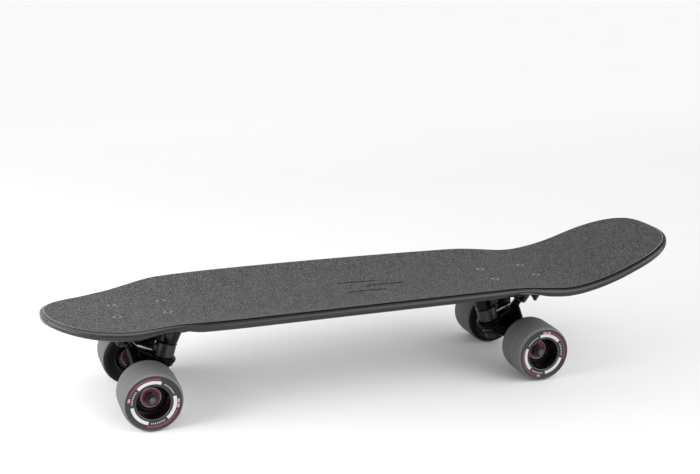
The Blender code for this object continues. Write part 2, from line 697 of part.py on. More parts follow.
deck_cut = deck_hole_mesh("deck_hole")

for truck, axle_x, spin in TRUCKS:
    frame = empty(truck + "_truck", (axle_x, 0, 0), spin)

    # pieces that stay with the deck
    for piece in ("riser_pad", "kingpin", "kingpin_nut", "upper_bushing", "lower_bushing", "upper_washer", "lower_washer", "pivot_cup"):
        made = place(f"{truck}_{piece}", shared[piece], looks[slot[piece]], frame)
        if piece == "riser_pad":
            for index, (u, v) in bolt_places():
                hole = helper(f"{truck}_riser_hole_{index}", plate_cuts["plate_hole_00"].copy(), frame)
                hole.data.transform(Matrix.Translation(Vector((
                    u - (BOLT_OFFSET - BOLT_SPACING_X / 2), v + BOLT_SPACING_Y / 2, 10)) * MM))
                boolean(made, hole, "DIFFERENCE")

    baseplate = place(f"{truck}_baseplate", slab.copy(), looks["truck"], frame)
    for name, mesh in plate_lumps.items():
        boolean(baseplate, helper(f"{truck}_{name}", mesh, frame), "UNION")
    for name, mesh in plate_cuts.items():
        boolean(baseplate, helper(f"{truck}_{name}", mesh, frame), "DIFFERENCE")

    for index, (u, v) in bolt_places():
        place(f"{truck}_deck_bolt_{index}", shared["deck_bolt"], looks["black_steel"], frame, (u, v, 0))
        place(f"{truck}_deck_nut_{index}", shared["deck_nut"], looks["black_steel"], frame, (u, v, 0))
        cutter = helper(f"{truck}_deck_hole_{index}", deck_cut, frame, (u, v, 0))
        boolean(deck, cutter, "DIFFERENCE")
        boolean(grip, cutter, "DIFFERENCE")

    # the hanger turns on the steering axis through the ring's centre
    steer = empty(truck + "_steer", tuple(RING), 0.0, frame)
    back = tuple(-RING)
    names = list(lumps)
    hanger = place(f"{truck}_hanger", lumps[names[0]].copy(), looks["truck"], steer, back)
    for name in names[1:]:
        boolean(hanger, helper(f"{truck}_{name}", lumps[name], steer, back), "UNION", "MANIFOLD")
    for name, mesh in hanger_cuts.items():
        boolean(hanger, helper(f"{truck}_{name}", mesh, steer, back), "DIFFERENCE", "MANIFOLD")
    boolean(hanger, helper(f"{truck}_axle_tube", tube, steer, back), "UNION", "MANIFOLD")
    boolean(hanger, helper(f"{truck}_axle_bore", axle_bore, steer, back), "DIFFERENCE", "MANIFOLD")
    place(f"{truck}_axle", shared["axle"], looks["steel"], steer, back)

    # wheels, each on its own empty on the axle
    for side in ("left", "right"):
        outward = -1 if side == "left" else 1
        if truck == "rear":
            outward = -outward      # the rear truck's own frame is turned half a turn
        hub = empty(f"{truck}_{side}_wheel", (0, 0, WHEEL_R), 0.0, frame)
        hub.rotation_euler = (math.radians(-90 * outward), 0, 0)
        for piece in ("tyre", "core", "inner_bearing", "outer_bearing", "axle_nut"):
            place(f"{truck}_{side}_{piece}", shared[piece], looks[slot[piece]], hub)

for obj in bpy.data.objects:
    if obj.type == "MESH" and not obj.data.materials and not obj.hide_render:
        obj.data.materials.append(looks["truck"])
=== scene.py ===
"""Looks of the cruiser skateboard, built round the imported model.

Lengths are in millimetres until a mesh is made.  The frame is the model's own:
nose towards -X, tail towards +X, +Z up, floor at Z = 0.
"""

import math

import bmesh
import bpy
import numpy as np
from mathutils import Matrix, Vector


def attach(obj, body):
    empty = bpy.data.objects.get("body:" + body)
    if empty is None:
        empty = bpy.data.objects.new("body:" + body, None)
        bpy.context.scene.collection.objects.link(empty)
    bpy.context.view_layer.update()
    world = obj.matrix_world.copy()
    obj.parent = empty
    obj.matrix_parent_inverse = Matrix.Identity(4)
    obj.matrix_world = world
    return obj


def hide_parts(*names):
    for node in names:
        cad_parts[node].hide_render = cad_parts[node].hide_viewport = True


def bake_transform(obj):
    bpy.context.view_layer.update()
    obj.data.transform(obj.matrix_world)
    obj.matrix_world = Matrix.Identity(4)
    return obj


MM = 0.001
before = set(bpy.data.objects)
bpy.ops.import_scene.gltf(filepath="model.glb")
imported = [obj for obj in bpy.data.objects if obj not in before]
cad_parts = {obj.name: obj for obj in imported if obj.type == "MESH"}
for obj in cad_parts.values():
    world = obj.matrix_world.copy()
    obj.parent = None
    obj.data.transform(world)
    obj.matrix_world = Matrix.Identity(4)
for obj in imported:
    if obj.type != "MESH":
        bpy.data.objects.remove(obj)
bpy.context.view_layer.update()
scene = bpy.context.scene
scene.view_settings.view_transform = "Standard"

# ---------------------------------------------------------------- the model's sizes
NOSE_X, TAIL_X = -371.25, 371.25
HALF_WIDTH = 95.8
NOSE_ROUND_X, NOSE_POWER = -152.7, 2.23
TAIL_ROUND_X, TAIL_POWER = 278.3, 2.9
TAPER_X, TAPER, TAPER_POWER = -119.3, 11.7, 1.77
PLATFORM_Z = 106.5
NOSE_RISE_X, NOSE_RISE, NOSE_RISE_POWER = -317.6, 7.85, 1.48
KICK_X, KICK_RADIUS, KICK_SLOPE = 200.4, 242.6, 0.356
CONCAVE, CONCAVE_MID_X, CONCAVE_LOSS = 9.0, -18.1, 0.9
CONCAVE_FLAT, CONCAVE_POWER = 0.50, 1.6
FRONT_FADE, REAR_FADE = (-301.1, -228.9), (138.2, 238.6)
TAIL_SPOON = 0.9
GRIP_THICK, GRIP_GAP, GRIP_INSET = 0.7, 0.3, 4.0
DECK_THICK, RAIL_THICK = 10.0, 9.35
NOSE_THIN, NOSE_THIN_X = 1.7, (-241.2, -351.2)
WELL_DEPTH, WELL_HALF = 4.15, 35.1
FRONT_WELL_X, REAR_WELL_X = -248.4, 155.7

WHEEL_R, WHEEL_INNER_Y, WHEEL_OUTER_Y = 32.5, 42.4, 91.0
BEARING_R, BEARING_BORE, BEARING_WIDTH, BEARING_OUT_Y, SPACER = 11.0, 4.3, 7.0, 74.2, 10.0

AXLES = {"front": (-269.9, 0.0), "rear": (181.3, math.pi)}
STEER_TILT, KING_TILT, NOSE_TILT = math.radians(33.0), math.radians(16.0), math.radians(33.0)
RING_U, RING_Z, PIVOT_REACH = 26.9, 45.9, 46.4
RING_R, RING_HALF, SEAT_R, SEAT_HALF = 14.6, 4.8, 12.4, 3.4
UPPER_BUSH, LOWER_BUSH, BUSH_R, LOWER_BUSH_R = 15.4, 7.4, 11.8, 8.6
UPPER_WASHER_R, LOWER_WASHER_R, WASHER = 11.2, 9.2, 1.4
KINGPIN_R, HANGER_HALF, AXLE_R, AXLE_HALF = 4.7, 49.3, 3.97, 84.5
BOLT_SPACING_X, BOLT_SPACING_Y, BOLT_OFFSET, BOLT_R, HOLE_R = 54.0, 41.3, 4.0, 2.4, 2.8
PLATE_TOP_Z, PLATE_THICK, PLATE_U, PLATE_HALF_Y, RISER_TOP_Z = 89.1, 6.0, (-34.0, 56.0), 28.5, 95.2
GAP = 0.3
HUB_R = 19.05           # where tyre and hub core meet
LIP_R, SHOULDER_R = 29.85, 31.2         # edges of a tyre's smooth outer and inner faces
GRAIN = 1950.0          # grains to the metre in the abrasive sheet


# ================================================================ mesh tools
def clamp(value, low=0.0, high=1.0):
    return max(low, min(high, value))


def ease(value):
    value = clamp(value)
    return value * value * (3 - 2 * value)


def mesh_from(name, verts, faces, marks=None, smooth=35.0):
    """A mesh in metres from millimetre points, faces turned outwards."""
    mesh = bpy.data.meshes.new(name)
    mesh.from_pydata([(x * MM, y * MM, z * MM) for x, y, z in verts], [], faces)
    if marks is not None:
        mesh.polygons.foreach_set("material_index", marks)
    bm = bmesh.new()
    bm.from_mesh(mesh)
    bmesh.ops.recalc_face_normals(bm, faces=bm.faces)
    bm.to_mesh(mesh)
    bm.free()
    mesh.shade_smooth()
    mesh.set_sharp_from_angle(angle=math.radians(smooth))
    return mesh


def rounded(corners, closed=True, turn=12.0):
    """Corner points (a, b, radius) to a line whose corners are round."""
    line, count = [], len(corners)
    for i, corner in enumerate(corners):
        here = Vector(corner[:2])
        radius = corner[2] if len(corner) > 2 else 0.0
        if radius <= 0 or (not closed and i in (0, count - 1)):
            line.append((here.x, here.y))
            continue
        before, after = Vector(corners[i - 1][:2]), Vector(corners[(i + 1) % count][:2])
        to_before, to_after = before - here, after - here
        u, v = to_before.normalized(), to_after.normalized()
        angle = math.acos(clamp(u.dot(v), -1, 1))
        if angle > math.pi - 0.03 or angle < 0.03:
            line.append((here.x, here.y))
            continue
        reach = min(radius / math.tan(angle / 2), 0.48 * to_before.length, 0.48 * to_after.length)
        radius = reach * math.tan(angle / 2)
        start, end = here + u * reach, here + v * reach
        centre = here + (u + v).normalized() * (radius / math.sin(angle / 2))
        first, last = start - centre, end - centre
        sign = 1 if first.x * last.y - first.y * last.x > 0 else -1
        sweep = math.pi - angle
        parts = max(2, math.ceil(sweep / math.radians(turn)))
        for k in range(parts + 1):
            a = sign * sweep * k / parts
            line.append((centre.x + first.x * math.cos(a) - first.y * math.sin(a),
                         centre.y + first.x * math.sin(a) + first.y * math.cos(a)))
    return line


def sections_mesh(name, sections, steps, closed=False, matrix=None, marks=None, smooth=35.0):
    """Joins rings of (radius, height) given per angle.  A section is a list of steps
    pairs, or one pair for the whole ring; an open run is closed at both ends on the axis."""
    verts, rings = [], []
    turns = [(math.cos(2 * math.pi * i / steps), math.sin(2 * math.pi * i / steps)) for i in range(steps)]
    for section in sections:
        if isinstance(section, tuple):
            radius, height = section
            if radius < 1e-6:
                rings.append([len(verts)])
                verts.append((0.0, 0.0, height))
                continue
            section = [section] * steps
        rings.append(list(range(len(verts), len(verts) + steps)))
        verts.extend((r * c, r * s, h) for (r, h), (c, s) in zip(section, turns))
    faces, kinds = [], []
    pairs = list(zip(rings, rings[1:])) + ([(rings[-1], rings[0])] if closed else [])
    for index, (a, b) in enumerate(pairs):
        kind = marks[index] if marks else 0
        if len(a) == 1 and len(b) == 1:
            continue
        for i in range(steps):
            j = (i + 1) % steps
            if len(a) == 1:
                faces.append((a[0], b[i], b[j]))
            elif len(b) == 1:
                faces.append((a[i], b[0], a[j]))
            else:
                faces.append((a[i], b[i], b[j], a[j]))
            kinds.append(kind)
    if matrix is not None:
        verts = [tuple(matrix @ Vector(v)) for v in verts]
    return mesh_from(name, verts, faces, kinds, smooth)


def turned(name, profile, steps=72, matrix=None, closed=True, marks=None, smooth=35.0):
    return sections_mesh(name, [(max(r, 0.0), h) for r, h in profile], steps, closed, matrix, marks, smooth)


def hex_radius(across, i, steps):
    """Radius of a hexagon's side at step i of a ring."""
    angle = (360.0 * i / steps) % 60.0 - 30.0
    return across / 2 / math.cos(math.radians(angle))


def hex_ring(across, height, steps, drop=0.0, lead=0.0):
    """A hexagonal ring; drop lowers the corners as a chamfer does."""
    flat = across / 2 * (1 + lead)
    return [(hex_radius(across, i, steps), height - drop * max(0.0, hex_radius(across, i, steps) - flat)) for i in range(steps)]


def thread(radius, low, high, pitch, depth, steps, per_turn=8):
    """Rings of a real screw thread between two heights."""
    rings = []
    count = max(2, int(round((high - low) / pitch * per_turn)))
    for k in range(count + 1):
        height = low + (high - low) * k / count
        ring = []
        for i in range(steps):
            phase = (height / pitch - i / steps) % 1.0
            ridge = 1 - abs(2 * phase - 1)
            fade = clamp(min((height - low) / pitch + 0.15, (high - height) / pitch + 0.15))
            ring.append((radius - depth * (1 - ridge) * fade - 0.25 * depth * (1 - fade), height))
        rings.append(ring)
    return rings


def circle(centre, normal, radius, steps=40):
    turn = Vector(normal).to_track_quat("Z", "Y")
    return [Vector(centre) + turn @ Vector((radius * math.cos(a), radius * math.sin(a), 0))
            for a in (2 * math.pi * i / steps for i in range(steps))]


def ball(centre, radius, steps=20, rings=12):
    points = [Vector(centre) + Vector((0, 0, radius)), Vector(centre) - Vector((0, 0, radius))]
    for j in range(1, rings):
        lift = math.pi * (j / rings - 0.5)
        for i in range(steps):
            a = 2 * math.pi * i / steps
            points.append(Vector(centre) + radius * Vector((math.cos(lift) * math.cos(a), math.cos(lift) * math.sin(a), math.sin(lift))))
    return points


def hull(name, points):
    bm = bmesh.new()
    for point in points:
        bm.verts.new(point)
    made = bmesh.ops.convex_hull(bm, input=bm.verts, use_existing_faces=False)
    spare = {g for g in made["geom_interior"] + made["geom_unused"] if isinstance(g, bmesh.types.BMVert)}
    bmesh.ops.delete(bm, geom=list(spare), context="VERTS")
    verts = [tuple(v.co) for v in bm.verts]
    bm.verts.index_update()
    faces = [tuple(v.index for v in f.verts) for f in bm.faces]
    bm.free()
    return mesh_from(name, verts, faces)


def slab_mesh(name, low, high, corner, edge, steps=10):
    """A slab with round corners in plan and round top and bottom edges."""
    (x0, y0, z0), (x1, y1, z1) = low, high
    rings = []
    rim = [(edge * (1 - math.cos(a)), edge * (1 - math.sin(a))) for a in (math.radians(15.0 * k) for k in range(7))]
    levels = [(inset, z0 + dz) for inset, dz in reversed([(r[1], r[0]) for r in rim])]
    levels = sorted({(round(i, 4), round(z, 4)) for i, z in levels}, key=lambda p: p[1])
    levels += [(i, z1 + z0 - z) for i, z in reversed(levels)]
    for inset, z in levels:
        loop = []
        for cx, cy, start in ((x1 - corner, y1 - corner, 0), (x0 + corner, y1 - corner, 90),
                              (x0 + corner, y0 + corner, 180), (x1 - corner, y0 + corner, 270)):
            for i in range(steps):
                a = math.radians(start + 90 * i / (steps - 1))
                loop.append((cx + (corner - inset) * math.cos(a), cy + (corner - inset) * math.sin(a), z))
        rings.append(loop)
    verts, faces = [p for loop in rings for p in loop], []
    n = len(rings[0])
    for k in range(len(rings) - 1):
        for i in range(n):
            j = (i + 1) % n
            faces.append((k * n + i, k * n + j, (k + 1) * n + j, (k + 1) * n + i))
    faces.append(tuple(range(n)))
    faces.append(tuple(range((len(rings) - 1) * n, len(rings) * n)))
    return mesh_from(name, verts, faces)


def temporary(mesh):
    obj = bpy.data.objects.new(mesh.name, mesh)
    scene.collection.objects.link(obj)
    return obj


def evaluated(obj):
    graph = bpy.context.evaluated_depsgraph_get()
    made = bpy.data.meshes.new_from_object(obj.evaluated_get(graph), preserve_all_data_layers=True, depsgraph=graph)
    return made


def joined(name, meshes):
    """Several meshes as one, still overlapping."""
    bm = bmesh.new()
    for mesh in meshes:
        bm.from_mesh(mesh)
    made = bpy.data.meshes.new(name)
    bm.to_mesh(made)
    bm.free()
    return made


def cut(mesh, cutters, solver="MANIFOLD"):
    """The mesh less its cutters; faces keep their material."""
    obj = temporary(mesh)
    others = []
    for cutter in cutters:
        other = temporary(cutter)
        others.append(other)
        modifier = obj.modifiers.new("cut", "BOOLEAN")
        modifier.operation, modifier.solver, modifier.object = "DIFFERENCE", solver, other
    made = evaluated(obj)
    for thing in [obj] + others:
        bpy.data.objects.remove(thing)
    made.name = mesh.name
    return made


def cast(name, lumps, voxel, passes, cuts=()):
    """Lumps melted into one casting with soft fillets, then machined by the cuts."""
    obj = temporary(joined(name, lumps))
    remesh = obj.modifiers.new("melt", "REMESH")
    remesh.mode, remesh.voxel_size, remesh.adaptivity = "VOXEL", voxel * MM, 0.0
    soft = obj.modifiers.new("soft", "SMOOTH")
    soft.factor, soft.iterations = 0.5, passes
    made = evaluated(obj)
    bpy.data.objects.remove(obj)
    made.name = name
    if cuts:
        made = cut(made, cuts)
    made.shade_smooth()
    made.set_sharp_from_angle(angle=math.radians(38))
    return made


def put(name, mesh, looks, body, matrix=None, replaces=(), bend=None):
    """Makes a piece from a mesh, gives it its materials and ties it to its body; given a bend, it instead takes its own
    copy of the mesh with its place baked in and is tied to no body."""
    if bend:
        mesh = mesh.copy()
    obj = bpy.data.objects.new(name, mesh)
    scene.collection.objects.link(obj)
    if matrix is not None:
        obj.matrix_world = matrix
    for index, look in enumerate(looks if isinstance(looks, (list, tuple)) else [looks]):
        if index < len(mesh.materials):
            mesh.materials[index] = look
        else:
            mesh.materials.append(look)
    if bend:
        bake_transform(obj)
    else:
        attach(obj, body)
    if replaces:
        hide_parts(*replaces)
    return obj


# ================================================================ materials
class Look:
    """A small wrapper round a node tree."""

    def __init__(self, name, colour=(0.5, 0.5, 0.5), roughness=0.5, metallic=0.0, specular=0.5, coat=0.0, coat_roughness=0.1):
        self.material = bpy.data.materials.new(name)
        self.material.use_nodes = True
        self.tree = self.material.node_tree
        self.shader = self.tree.nodes["Principled BSDF"]
        self.set("Base Color", (*colour, 1.0))
        self.set("Roughness", roughness)
        self.set("Metallic", metallic)
        self.set("Specular IOR Level", specular)
        self.set("Coat Weight", coat)
        self.set("Coat Roughness", coat_roughness)
        self.where = self.node("ShaderNodeTexCoord").outputs["Object"]

    def set(self, socket, value):
        self.shader.inputs[socket].default_value = value

    def node(self, kind, **values):
        made = self.tree.nodes.new(kind)
        for key, value in values.items():
            setattr(made, key, value)
        return made

    def link(self, source, target):
        self.tree.links.new(source, target)

    def feed(self, node, **inputs):
        for key, value in inputs.items():
            socket = node.inputs[key.replace("_", " ")] if isinstance(key, str) else node.inputs[key]
            if isinstance(value, bpy.types.NodeSocket):
                self.link(value, socket)
            else:
                socket.default_value = value
        return node

    def math(self, operation, a, b=None, c=None, clamp_it=False):
        node = self.node("ShaderNodeMath", operation=operation, use_clamp=clamp_it)
        for index, value in enumerate((a, b, c)):
            if value is None:
                continue
            if isinstance(value, bpy.types.NodeSocket):
                self.link(value, node.inputs[index])
            else:
                node.inputs[index].default_value = value
        return node.outputs[0]

    def stretch(self, scale=(1, 1, 1), source=None, rotation=(0, 0, 0)):
        node = self.node("ShaderNodeMapping")
        self.link(source or self.where, node.inputs["Vector"])
        node.inputs["Scale"].default_value = scale
        node.inputs["Rotation"].default_value = rotation
        return node.outputs[0]

    def noise(self, scale, detail=3.0, roughness=0.55, source=None, distortion=0.0):
        node = self.node("ShaderNodeTexNoise")
        self.link(source or self.where, node.inputs["Vector"])
        node.inputs["Scale"].default_value = scale
        node.inputs["Detail"].default_value = detail
        node.inputs["Roughness"].default_value = roughness
        node.inputs["Distortion"].default_value = distortion
        return node.outputs["Fac"]

    def cells(self, scale, source=None, feature="F1", out="Distance"):
        node = self.node("ShaderNodeTexVoronoi", feature=feature)
        self.link(source or self.where, node.inputs["Vector"])
        node.inputs["Scale"].default_value = scale
        return node.outputs[out]

    def ramp(self, value, stops):
        node = self.node("ShaderNodeValToRGB")
        self.link(value, node.inputs["Fac"])
        element = node.color_ramp.elements
        while len(element) < len(stops):
            element.new(0.5)
        for item, (position, colour) in zip(element, stops):
            item.position = position
            item.color = (*colour, 1.0) if len(colour) == 3 else colour
        return node.outputs["Color"]

    def grey(self, value, low, high, start=0.0, end=1.0):
        """Maps a value onto low to high."""
        node = self.node("ShaderNodeMapRange")
        self.link(value, node.inputs["Value"])
        for key, number in (("From Min", start), ("From Max", end), ("To Min", low), ("To Max", high)):
            node.inputs[key].default_value = number
        return node.outputs["Result"]

    def mix(self, factor, a, b):
        node = self.node("ShaderNodeMix", data_type="RGBA")
        for key, value in ((0, factor), (6, a), (7, b)):
            if isinstance(value, bpy.types.NodeSocket):
                self.link(value, node.inputs[key])
            else:
                node.inputs[key].default_value = value if key == 0 else (*value, 1.0)
        return node.outputs[2]

    def bump(self, height, strength=0.5, distance=0.0002, under=None):
        node = self.node("ShaderNodeBump")
        self.link(height, node.inputs["Height"])
        node.inputs["Strength"].default_value = strength
        node.inputs["Distance"].default_value = distance
        if under is not None:
            self.link(under, node.inputs["Normal"])
        self.link(node.outputs["Normal"], self.shader.inputs["Normal"])
        return node.outputs["Normal"]

    def use(self, socket, source):
        self.link(source, self.shader.inputs[socket])


def tone(*levels):
    return [(v, v, v) if isinstance(v, (int, float)) else v for v in levels]


def grip_look():
    """Abrasive sheet: dark mineral grains in black resin, with a few grains painted bright as glints."""
    look = Look("grip_sheet", roughness=0.9, specular=0.12)
    split = look.node("ShaderNodeSeparateColor")
    look.link(look.cells(GRAIN, out="Color"), split.inputs[0])
    own, other, third = split.outputs
    fine = look.noise(1700.0, 3.0, 0.65)
    patch = look.noise(55.0, 3.0, 0.55)
    level = look.math("ADD", look.math("MULTIPLY", own, 0.62), look.math("MULTIPLY", fine, 0.38))
    base = look.ramp(level, [(0.16, (0.008, 0.008, 0.009)), (0.45, (0.036, 0.036, 0.037)), (0.60, (0.082, 0.082, 0.083)), (0.78, (0.205, 0.205, 0.206))])
    mottled_base = look.node("ShaderNodeVectorMath", operation="SCALE")
    look.link(base, mottled_base.inputs[0])
    look.link(look.grey(patch, 0.94, 1.06, 0.3, 0.7), mottled_base.inputs["Scale"])
    # painted glints: a few grains are painted pale to stand in for the light they reflect
    painted_glint = look.math("MULTIPLY", look.math("GREATER_THAN", other, 0.985), look.math("LESS_THAN", look.cells(GRAIN), 0.40))
    look.use("Base Color", look.mix(painted_glint, mottled_base.outputs[0], (0.40, 0.40, 0.40)))
    look.bump(look.math("ADD", look.math("MULTIPLY", look.cells(GRAIN), 0.8), fine), 0.7, 0.0003)
    return look.material


def grip_edge_look():
    """The filed edge of the sheet, pale where filed, with a painted highlight that makes it paler still at nose and
    tail.
    """
    look = Look("grip_edge", roughness=0.75, specular=0.25)
    fine = look.noise(1300.0, 3.0, 0.6)
    split = look.node("ShaderNodeSeparateXYZ")
    look.link(look.where, split.inputs[0])
    # painted highlight: the edge is made paler towards the nose and tail tips, where light catches it
    painted_highlight_ends = look.math("MAXIMUM", look.grey(split.outputs[0], 1.0, 0.0, -0.352, -0.322), look.grey(split.outputs[0], 0.0, 1.0, 0.265, 0.325))
    level = look.math("MULTIPLY_ADD", painted_highlight_ends, 0.62, look.math("MULTIPLY", fine, 0.38))
    look.use("Base Color", look.ramp(level, [(0.10, (0.075, 0.075, 0.075)), (0.25, (0.12, 0.12, 0.12)), (0.72, (0.20, 0.20, 0.20)), (0.92, (0.30, 0.30, 0.30))]))
    look.bump(fine, 0.4, 0.0001)
    return look.material


# painted shade: a near-black, low-shine look for the slit floors, the screw sockets' bottoms, the groove under the
# grip's edge and the sheet's side wall
def shade_slit_look():
    look = Look("grip_slit_painted_shade", colour=(0.008, 0.008, 0.008), roughness=0.8, specular=0.1)
    look.bump(look.noise(900.0), 0.3, 0.0001)
    return look.material


def wood_look(name, dark, light, roughness, coat, grain=1.0, specular=0.40):
    """Stained veneer under satin varnish: long fine pores along the board."""
    look = Look(name, roughness=roughness, specular=specular, coat=coat, coat_roughness=0.28)
    along = look.stretch((6.0, 260.0, 260.0))
    pores = look.noise(1.0, 6.0, 0.62, along, 0.4)
    bands = look.noise(1.0, 3.0, 0.5, look.stretch((2.2, 34.0, 60.0)), 0.9)
    mixed = look.math("ADD", look.math("MULTIPLY", pores, 0.62), look.math("MULTIPLY", bands, 0.38))
    look.use("Base Color", look.ramp(mixed, [(0.34, dark), (0.66, light)]))
    look.use("Roughness", look.grey(pores, roughness - 0.05, roughness + 0.10, 0.3, 0.7))
    look.bump(look.math("MULTIPLY", pores, grain), 0.22, 0.00012)
    return look.material


def highlight_shoulder_look(name, light):
    """The rail's upper round, with a painted highlight that makes it paler towards the tip of the nose."""
    look = Look(name, roughness=0.5, specular=0.3)
    split = look.node("ShaderNodeSeparateXYZ")
    look.link(look.where, split.inputs[0])
    share = look.grey(split.outputs[0], 1.0, 0.0, -0.262, -0.215)
    # painted highlight: a pale colour that stands in for the light on the nose's shoulder
    painted_highlight = look.grey(look.noise(900.0, 3.0), light * 0.8, light * 1.2, 0.3, 0.7)
    look.use("Base Color", look.mix(share, (0.013, 0.013, 0.014), look.combined(painted_highlight, painted_highlight, painted_highlight)))
    return look.material


def cast_look(name, specular):
    """Black powder coat over a cast surface."""
    look = Look(name, roughness=0.22, specular=specular)
    peel = look.noise(520.0, 3.0, 0.5)
    broad = look.noise(60.0, 2.0, 0.5)
    look.use("Base Color", look.ramp(broad, [(0.3, (0.0015, 0.0015, 0.0018)), (0.7, (0.003, 0.003, 0.0033))]))
    look.use("Roughness", look.grey(look.noise(210.0), 0.17, 0.29, 0.3, 0.7))
    look.bump(peel, 0.22, 0.00015)
    return look.material


def machined_look(name, colour, roughness, scale=900.0, streak=(1, 1, 40)):
    """Metal with fine turning marks."""
    look = Look(name, colour=colour, roughness=roughness, metallic=1.0)
    marks = look.noise(scale, 3.0, 0.6, look.stretch(streak))
    tint = look.noise(180.0, 2.0)
    look.use("Base Color", look.mix(look.grey(tint, 0, 1, 0.3, 0.7), tuple(c * 0.82 for c in colour), colour))
    look.use("Roughness", look.grey(marks, roughness - 0.07, roughness + 0.12, 0.3, 0.7))
    look.bump(marks, 0.15, 0.00004)
    return look.material


def rubber_look(name, dark, light, roughness, scale=420.0, specular=0.4, bump=0.25):
    look = Look(name, roughness=roughness, specular=specular)
    fine = look.noise(scale, 4.0, 0.6)
    look.use("Base Color", look.ramp(fine, [(0.3, dark), (0.7, light)]))
    look.use("Roughness", look.grey(look.noise(scale * 0.3), roughness - 0.06, roughness + 0.08, 0.3, 0.7))
    look.bump(fine, bump, 0.00012)
    return look.material


def polar(look):
    """Radius in millimetres and angle 0 to 1 round the wheel's own axis."""
    split = look.node("ShaderNodeSeparateXYZ")
    look.link(look.where, split.inputs[0])
    x, y, z = split.outputs
    radius = look.math("MULTIPLY", look.math("SQRT", look.math("ADD", look.math("MULTIPLY", x, x), look.math("MULTIPLY", y, y))), 1000.0)
    turn = look.math("ADD", look.math("DIVIDE", look.math("ARCTAN2", y, x), 2 * math.pi), 0.5)
    return radius, turn, look.math("MULTIPLY", z, 1000.0)


def band(look, value, low, high, soft=0.0):
    """1 between two values, with an edge that is soft over a given width."""
    if soft <= 0:
        return look.math("MULTIPLY", look.math("GREATER_THAN", value, low), look.math("LESS_THAN", value, high))
    rise = look.grey(value, 0.0, 1.0, low - soft / 2, low + soft / 2)
    fall = look.grey(value, 1.0, 0.0, high - soft / 2, high + soft / 2)
    return look.math("MULTIPLY", rise, fall)


def tread_look():
    """The ground tread of a soft urethane tyre, pale and dull with faint rounds."""
    look = Look("tyre_tread", roughness=0.9, specular=0.06)
    radius, turn, height = polar(look)
    fine = look.noise(700.0, 4.0, 0.65)
    rounds = look.noise(1.0, 4.0, 0.62, look.combined(look.math("MULTIPLY", height, 0.85), look.math("MULTIPLY", radius, 0.85)))
    broad = look.noise(1.0, 2.0, 0.5, look.combined(look.math("MULTIPLY", height, 0.24), look.math("MULTIPLY", radius, 0.24)))
    level = look.math("ADD", look.math("MULTIPLY", rounds, 0.5), look.math("ADD", look.math("MULTIPLY", fine, 0.2), look.math("MULTIPLY", broad, 0.3)))
    look.use("Base Color", look.ramp(level, [(0.34, (0.100, 0.100, 0.102)), (0.66, (0.160, 0.160, 0.163))]))
    lines = look.noise(1.0, 3.0, 0.6, look.combined(look.math("MULTIPLY", height, 2.2), look.math("MULTIPLY", radius, 2.2)))
    look.bump(look.math("ADD", look.math("MULTIPLY", lines, 0.8), look.math("MULTIPLY", fine, 0.5)), 0.30, 0.00010)
    return look.material


# painted shade: the tyre's inner face is painted far darker than its outer face, as it faces into the shade under the
# deck
def shaded_inner_face_look():
    look = Look("tyre_inner_face_painted_shade", colour=(0.006, 0.006, 0.0065), roughness=0.6, specular=0.10)
    look.bump(look.noise(700.0, 3.0), 0.15, 0.0001)
    return look.material


def tyre_look():
    """The poured, smooth and printed outer face of a tyre."""
    look = Look("tyre_face", roughness=0.44, specular=0.28)
    radius, turn, height = polar(look)
    fine = look.noise(700.0, 4.0, 0.65)
    dirt = look.noise(45.0, 3.0, 0.55)
    poured = look.ramp(dirt, [(0.3, (0.021, 0.021, 0.023)), (0.7, (0.027, 0.027, 0.029))])

    def union(a, b):
        return look.math("MAXIMUM", a, b)

    def arcs(low, high, first, last):
        return look.math("MULTIPLY", band(look, radius, low, high, 0.16), band(look, turn, first, last, 0.003))

    # three white bars, evenly spaced
    white = None
    for start in (0.02, 0.353, 0.687):
        bar = arcs(20.9, 24.4, start, start + 0.185)
        white = bar if white is None else union(white, bar)
    # scale ticks between the bars
    fast = look.math("FRACT", look.math("MULTIPLY", turn, 72.0))
    ticks = look.math("MULTIPLY", band(look, fast, 0.25, 0.70), band(look, radius, 22.0, 23.3, 0.16))
    open_way = None
    for start in (0.222, 0.555, 0.889):
        gap = band(look, turn, start, start + 0.115)
        open_way = gap if open_way is None else union(open_way, gap)
    white = union(white, look.math("MULTIPLY", ticks, open_way))
    # crimson ring parts and pale blocks between them
    crimson = None
    for start in (0.20, 0.70):
        part = arcs(25.5, 27.0, start, start + 0.24)
        crimson = part if crimson is None else union(crimson, part)
    blocks = None
    for start in (0.452, 0.486, 0.952):
        part = arcs(24.9, 27.3, start, start + 0.026)
        blocks = part if blocks is None else union(blocks, part)
    grain = look.grey(fine, 0.86, 1.0, 0.35, 0.6)

    def inked(mask):
        return look.math("MULTIPLY", mask, grain)

    colour = look.mix(inked(white), poured, (0.52, 0.52, 0.52))
    colour = look.mix(inked(crimson), colour, (0.215, 0.035, 0.078))
    colour = look.mix(inked(blocks), colour, (0.47, 0.21, 0.28))
    look.use("Base Color", colour)
    look.use("Roughness", look.grey(fine, 0.36, 0.50, 0.3, 0.7))
    look.bump(fine, 0.15, 0.00010)
    return look.material


def combined(self, *parts):
    node = self.node("ShaderNodeCombineXYZ")
    for socket, part in zip(node.inputs, parts):
        self.link(part, socket)
    return node.outputs[0]


Look.combined = combined


def core_look():
    look = Look("core_gloss", roughness=0.13, specular=0.35)
    broad = look.noise(90.0, 2.0)
    look.use("Base Color", look.ramp(broad, [(0.3, (0.002, 0.002, 0.0025)), (0.7, (0.004, 0.004, 0.0045))]))
    look.use("Roughness", look.grey(look.noise(260.0, 3.0), 0.09, 0.19, 0.3, 0.7))
    look.bump(look.noise(120.0, 2.0), 0.10, 0.0001)
    return look.material


